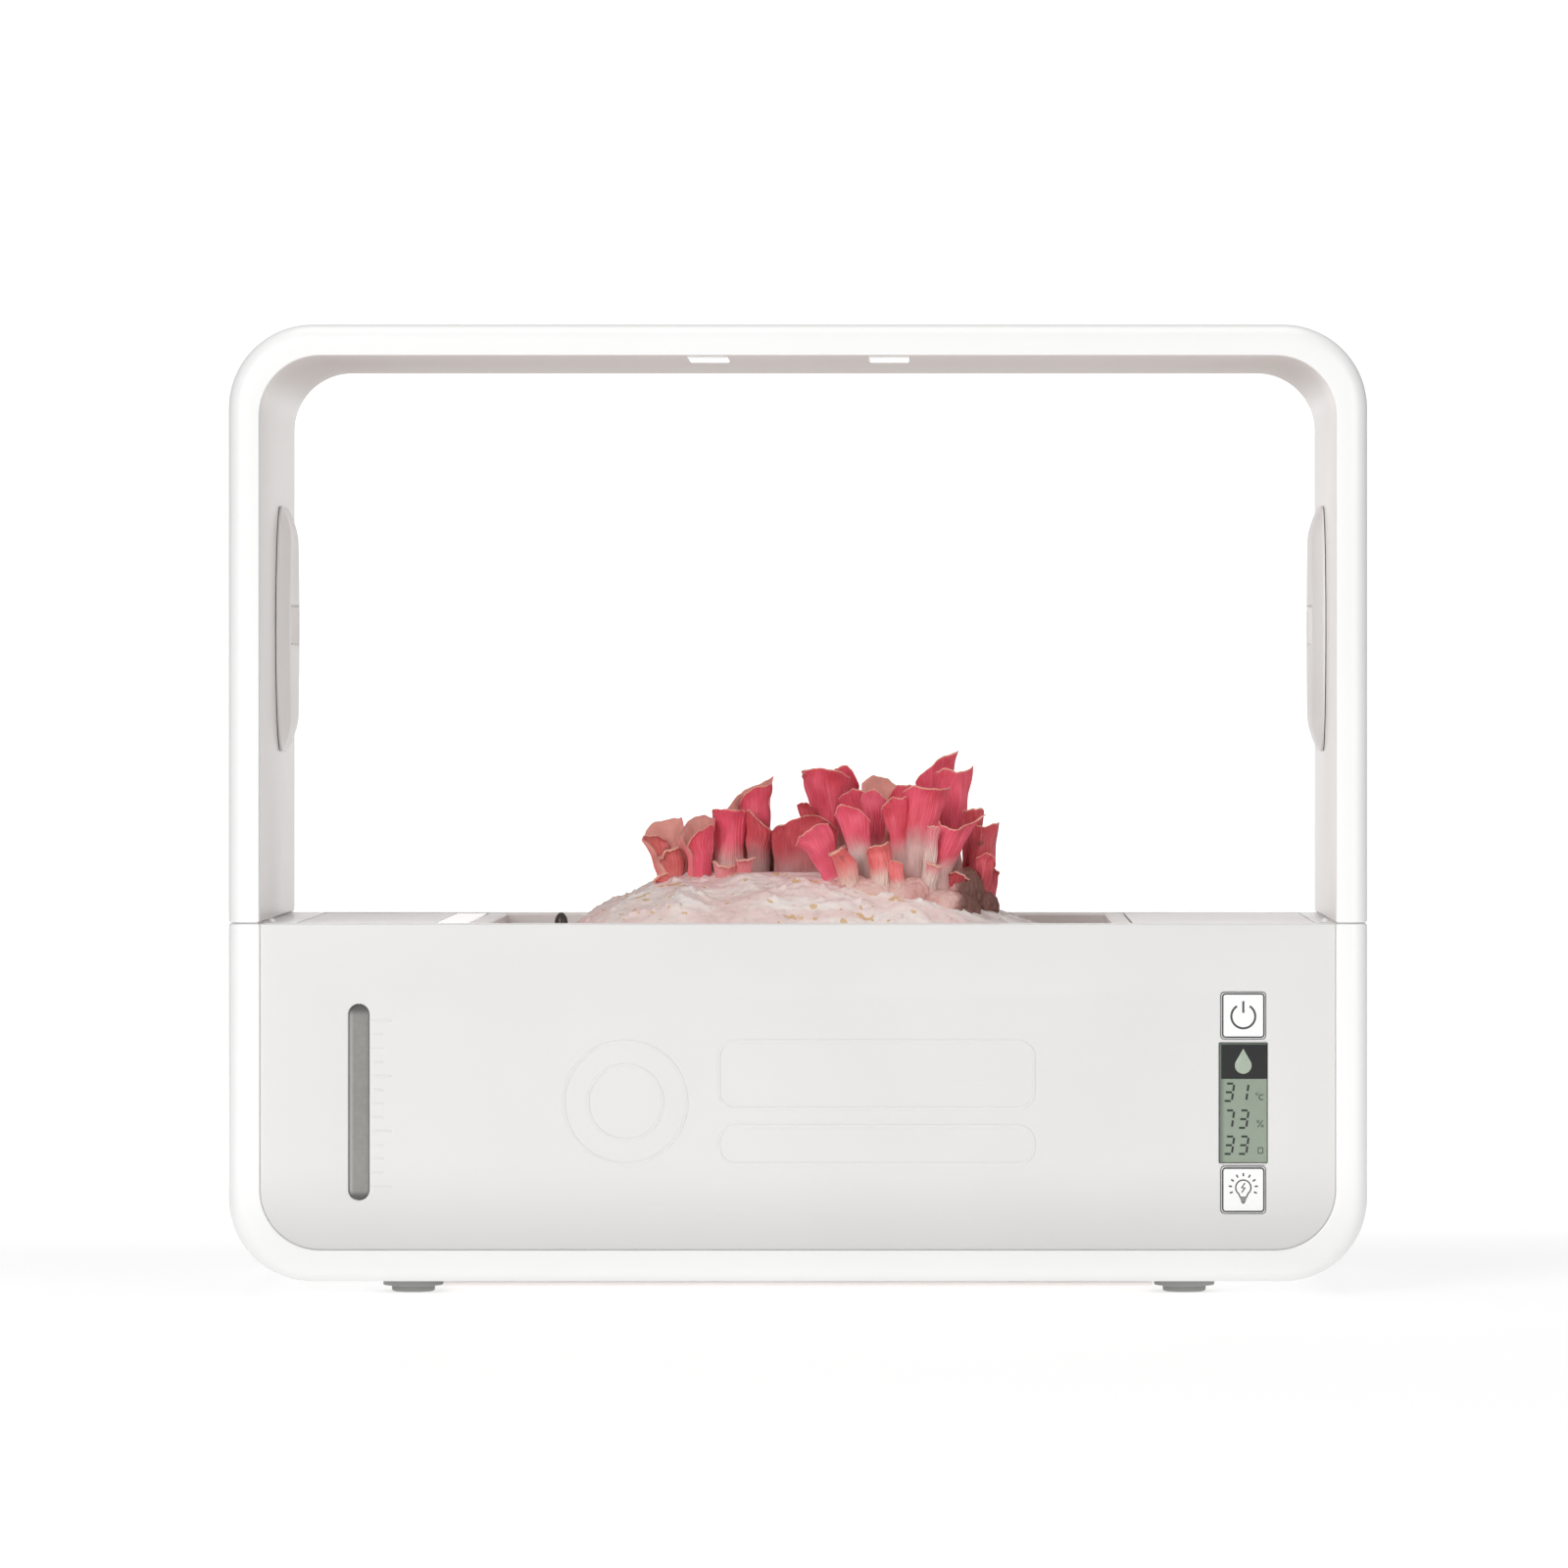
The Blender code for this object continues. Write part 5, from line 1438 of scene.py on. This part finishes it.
RIGHT_MUSHROOMS = (
    Mushroom(Tone.RED, (
        Sheet((12, -3, 150), (9, -5, 193.8), 18, 2, (0, 0.9, 0.4, -1.4, -5.4), 60, 1.2, seed=21),
        Sheet((9, 0, 150), (2.4, -3, 192.6), 7, -30, (-2.4, 0.4, 0.9, 0, -3), 60, 1.4, seed=20))),
    Mushroom(Tone.RED, (
        Sheet((18, 5, 150), (16, 4, 194.6), 10.5, 6, (-2, 0, 0.3, -2.4, -8), 66, 1.3, seed=22),)),
    # Its lower part in WINE's dark mauve stem tone is the cap's underside, coloured with painted shade.
    Mushroom(Tone.WINE, (
        Sheet((1.4, -13, 147), (1.4, -15, 175.4), 24.6, 0, (-6.5, -1.5, 1, 0.2, -4.5), 52, 1.9, stem=11.8,
              seed=24),
        Sheet((6, -8, 150), (0.6, -10, 181.2), 5, -6, (-1, 0, 0, -1, -3), seed=25)), 0.1, 0.62, 0.7),
    Mushroom(Tone.BRIGHT, (
        Sheet((12, -34, 149), (2.4, -37, 170.8), 14.8, -6, (-2.6, -0.3, 0.6, -0.4, -5), 56, 1.15, stem=2.6,
              seed=26),), 0.02, 0.14),
    Mushroom(Tone.ORANGE, (
        Sheet((19, -41, 146.5), (13.2, -45, 163.8), 7, -6, (-0.4, 0.2, 0.2, 0, -0.8), 78, 0.9, 1.3,
              stem=4.2, seed=27),), 0.16, 0.7),
    Mushroom(Tone.BRIGHT, (
        Sheet((24, -33, 146), (17.4, -35, 180.8), 11.4, 0, (-3.4, 1.6, 0.2, -4.6, -10), 62, 1, stem=3,
              seed=28),), 0.34, 0.66),
    Mushroom(Tone.RED, (
        Sheet((22, -10, 150), (19.4, -12, 185.4), 11, 0, (-2, 0, 0.3, -0.6, -2), 62, 1.4, seed=29),)),
    Mushroom(Tone.BRIGHT, (
        Sheet((29, -20, 148), (27.2, -21, 185.8), 9.4, 0, (-4.4, -0.6, 0.8, -0.8, -4.8), 66, 1.3, 0.2,
              seed=30),), 0.2, 0.52),
    Mushroom(Tone.SALMON, (
        Sheet((29, -2, 150), (30.2, 2, 190.8), 13.5, 180, (-4, -1.2, 0.5, 0.4, -3.6), 60, 1.4, seed=31),)),
    Mushroom(Tone.RED, (
        Sheet((37, -8, 150), (38, -6, 187.8), 10.6, 0, (-5.4, -1.6, 0.4, 0.4, -0.4), 62, 1.4, seed=32),)),
    Mushroom(Tone.RED, (
        Sheet((38.5, -32, 146), (34.8, -35, 182), 10.6, 0, (-2.4, -0.6, 1.8, -0.6, 0.4), 62, 0.8, stem=2.4,
              seed=33),), 0.3, 0.6),
    Mushroom(Tone.RED, (
        Sheet((43.5, -36, 144), (48, -33, 187.2), 16.4, 0, (-3, -0.2, -0.2, 0.8, 3.2), 76, 1.25, 1.2,
              stem=3.8, ruffle=0.08, seed=34),), 0.38, 0.66),
    Mushroom(Tone.RED, (
        Sheet((50, -10, 148), (51.2, -11, 197), 15, 4, (-8.5, -4.2, 0, 2.8, 4.4), 60, 1.7, seed=35),)),
    Mushroom(Tone.RED, (
        Sheet((56, -18, 146), (58.2, -21, 193.2), 14, 6, (-1.6, 0.6, -0.8, 0.4, 2.6), 66, 1.9, seed=36),),
              blemish=1.0),
    Mushroom(Tone.ORANGE, (
        Sheet((31.5, -45, 143), (29.2, -43, 165.4), 10, 0, (-1.4, 0.2, 0.3, 0.6, 0.4), 84, 1.7, 1.5,
              stem=3.2, seed=37),
        Sheet((37, -46, 143), (35.6, -46, 159.2), 5.6, 0, (-1, 0, 0.4, 0, -1), 70, 1.3, stem=2.4, seed=38)),
              0.36, 0.66),
    Mushroom(Tone.RED, (
        Sheet((49, -40, 141.5), (59.4, -38, 173.4), 13.2, 0, (-2.6, -4, -3, 2.8, 11), 66, 1.4, stem=5,
              seed=39),), 0.36, 0.6),
    Mushroom(Tone.WINE, (
        Sheet((69, -27, 136), (70, -28, 173), 10.5, 14, (0.4, -1.2, -0.6, 0.8, 0.4), 72, 2.6, stem=4.2,
              ruffle=0.6, seed=40),
        Sheet((64, -20, 139), (65.2, -24, 178.6), 7.5, 8, (-1.6, -0.4, 0.4, 0.8, -0.4), 66, 2, stem=3,
              seed=47),
        Sheet((68.5, -33, 137), (71, -32, 161.5), 7.5, 20, (-2.2, 0.4, 0.6, -0.6, -4), 66, 2.2, stem=2.8,
              ruffle=0.7, seed=46),
        Sheet((71.5, -24, 136), (72.2, -26, 156.5), 7.5, 24, (-1, 0.4, 0.2, -1.6, -3), 74, 2.6, stem=3.6,
              ruffle=0.8, seed=48),
        Sheet((57, -36, 144), (60.6, -40, 154.4), 8, 10, (-4.5, -1, 0.4, 0.4, -1), 60, 1.2, seed=41)), 0.02,
              0.1, 0.9),
    Mushroom(Tone.PINK, (
        Sheet((47.5, -43, 144), (50.6, -44, 172.6), 5.4, 0, (-1, 0, 0, 0, -1), 60, 2.2, stem=2.2, seed=42),
        Sheet((49, -44, 146), (50.6, -47, 158.4), 6.4, 5, (-0.6, 0, 0.3, 0, -0.6), 72, 1.2, 0.9, stem=2.6,
              seed=43)), 0.5, 0.9),
    Mushroom(Tone.SALMON, (
        Sheet((23, 11, 150), (20, 20, 182), 16.5, 180, seed=44),)),
    Mushroom(Tone.SALMON, (
        Sheet((44, 4, 148), (46, 12, 185), 17.5, 175, seed=45),)),
)


def left_cluster() -> MushroomCluster:
    """The left cluster: nine mushrooms round a short knot."""
    flesh = KnotFlesh("knot_left_flesh", (0.80, 0.52, 0.48), (0.72, 0.30, 0.29), (0.50, 0.22, 0.19),
                      -0.012, 0.004)
    return MushroomCluster("left", (-31.0, -1.0, 145.0), (25.0, 22.0, 9.5), LEFT_MUSHROOMS, flesh)


def right_cluster() -> MushroomCluster:
    """The right cluster: twenty mushrooms, with a knot that swells to the right and darkens there with
    painted shade.
    """
    flesh = KnotFlesh("knot_right_flesh", (0.76, 0.50, 0.45), (0.64, 0.32, 0.29),
                      (0.185, 0.078, 0.062), 0.056, 0.062)
    lumps = (((62.0, -32.0, 146.0), (7.0, 8.0, 10.5)), ((54.0, -39.0, 141.0), (13.0, 10.0, 7.5)),
             ((41.0, -40.0, 145.0), (11.0, 9.0, 8.0)), ((29.0, -38.0, 147.0), (10.0, 8.0, 6.0)),
             ((19.0, -34.0, 149.0), (8.0, 7.0, 5.0)), ((68.5, -29.0, 142.0), (6.0, 8.0, 6.0)))
    return MushroomCluster("right", (40.0, -22.0, 139.0), (31.0, 24.0, 13.0), RIGHT_MUSHROOMS, flesh,
                           lumps)


# ------------------------------------------------------------------------------ studio
@dataclass
class Studio:
    """Pale floor, soft lights and the camera."""

    floor_half: float = 6.0
    sweep_start: float = 1.6
    sweep_radius: float = 1.2
    aim: Place = (0.0, 0.0, 0.18)
    air: float = 0.16

    def build_floor(self) -> None:
        """A pale floor that sweeps up behind."""
        x = np.linspace(-self.floor_half, self.floor_half, 3)
        turn = np.linspace(0.0, math.pi / 2, 25)
        start, radius = self.sweep_start, self.sweep_radius
        y = np.concatenate([[-8.0, start], start + radius * np.sin(turn), [start + radius]])
        z = np.concatenate([[0.0, 0.0], radius * (1 - np.cos(turn)), [6.0]])
        points = np.stack([np.broadcast_to(x[None, :], (len(y), 3)),
                           np.broadcast_to(y[:, None], (len(y), 3)),
                           np.broadcast_to(z[:, None], (len(y), 3))], axis=-1)
        floor = Pile().add(Surface(points)).build("studio_floor", Backdrop().build(), outward=False)

    def _area(self, name: str, place: Place, size: float, power: float) -> None:
        """A square area light that faces the aim."""
        lamp = bpy.data.lights.new(name, "AREA")
        lamp.size = size
        lamp.energy = power
        holder = link(name, lamp)
        holder.location = place
        direction = Vector(self.aim) - Vector(place)
        holder.rotation_euler = direction.to_track_quat("-Z", "Y").to_euler()

    def build_lights(self) -> None:
        """Key from the upper left front, fill from the right, a soft top light and pale air."""
        self._area("key_light", (-1.4, -2.7, 1.15), 1.5, 44.0)
        self._area("fill_light", (1.9, -2.5, 0.75), 1.7, 22.0)
        self._area("top_light", (0.0, -0.2, 2.6), 1.8, 24.0)
        world = bpy.data.worlds.new("pale_air")
        world.use_nodes = True
        background = world.node_tree.nodes["Background"].inputs
        background["Color"].default_value = (1.0, 1.0, 1.0, 1.0)
        background["Strength"].default_value = self.air
        bpy.context.scene.world = world

    def build_camera(self) -> None:
        """Level camera a little right of the middle and above the deck, with a long lens."""
        lens = bpy.data.cameras.new("front_camera")
        lens.lens = 212.0
        lens.sensor_width = 36.0
        lens.shift_x = -0.0919
        lens.shift_y = -0.0563
        camera = link("front_camera", lens)
        camera.location = (0.048, -3.495, 0.221)
        camera.rotation_euler = (math.pi / 2, 0.0, 0.0)
        bpy.context.scene.camera = camera
        bpy.context.scene.view_settings.view_transform = "Standard"


def report(label: str, pieces: Sequence[bpy.types.Object]) -> None:
    """Log each piece of a group with its face count."""
    for piece in pieces:
        LOG.info("%s: %s, %d faces", label, piece.name, len(piece.data.polygons))


def main() -> None:
    """Build every group in order."""
    logging.basicConfig(level=logging.INFO, format="%(message)s")
    housing = Housing()
    report("housing", [housing.build_hood(), housing.build_base()])
    report("panels", housing.build_panels())
    report("feet", housing.build_feet())
    report("side covers", [housing.build_side_cover(-1), housing.build_side_cover(1)])
    report("small turnings", housing.build_small_turnings())
    housing.dress_flat_pieces()
    front = FrontDetails(housing.finishes["panel_satin"], housing.finishes["rim_white"])
    report("front", [front.build_level_marks(), front.build_plain_relief(),
                     front.build_power_symbol(), front.build_light_symbol()])
    report("display", front.build_display())
    front.dress_windows()
    report("block", [GrowingBlock().build()])
    finishes: Finishes = {}
    report("left cluster", left_cluster().build(finishes))
    report("right cluster", right_cluster().build(finishes))
    studio = Studio()
    studio.build_floor()
    studio.build_lights()
    studio.build_camera()


if __name__ == "__main__":
    main()
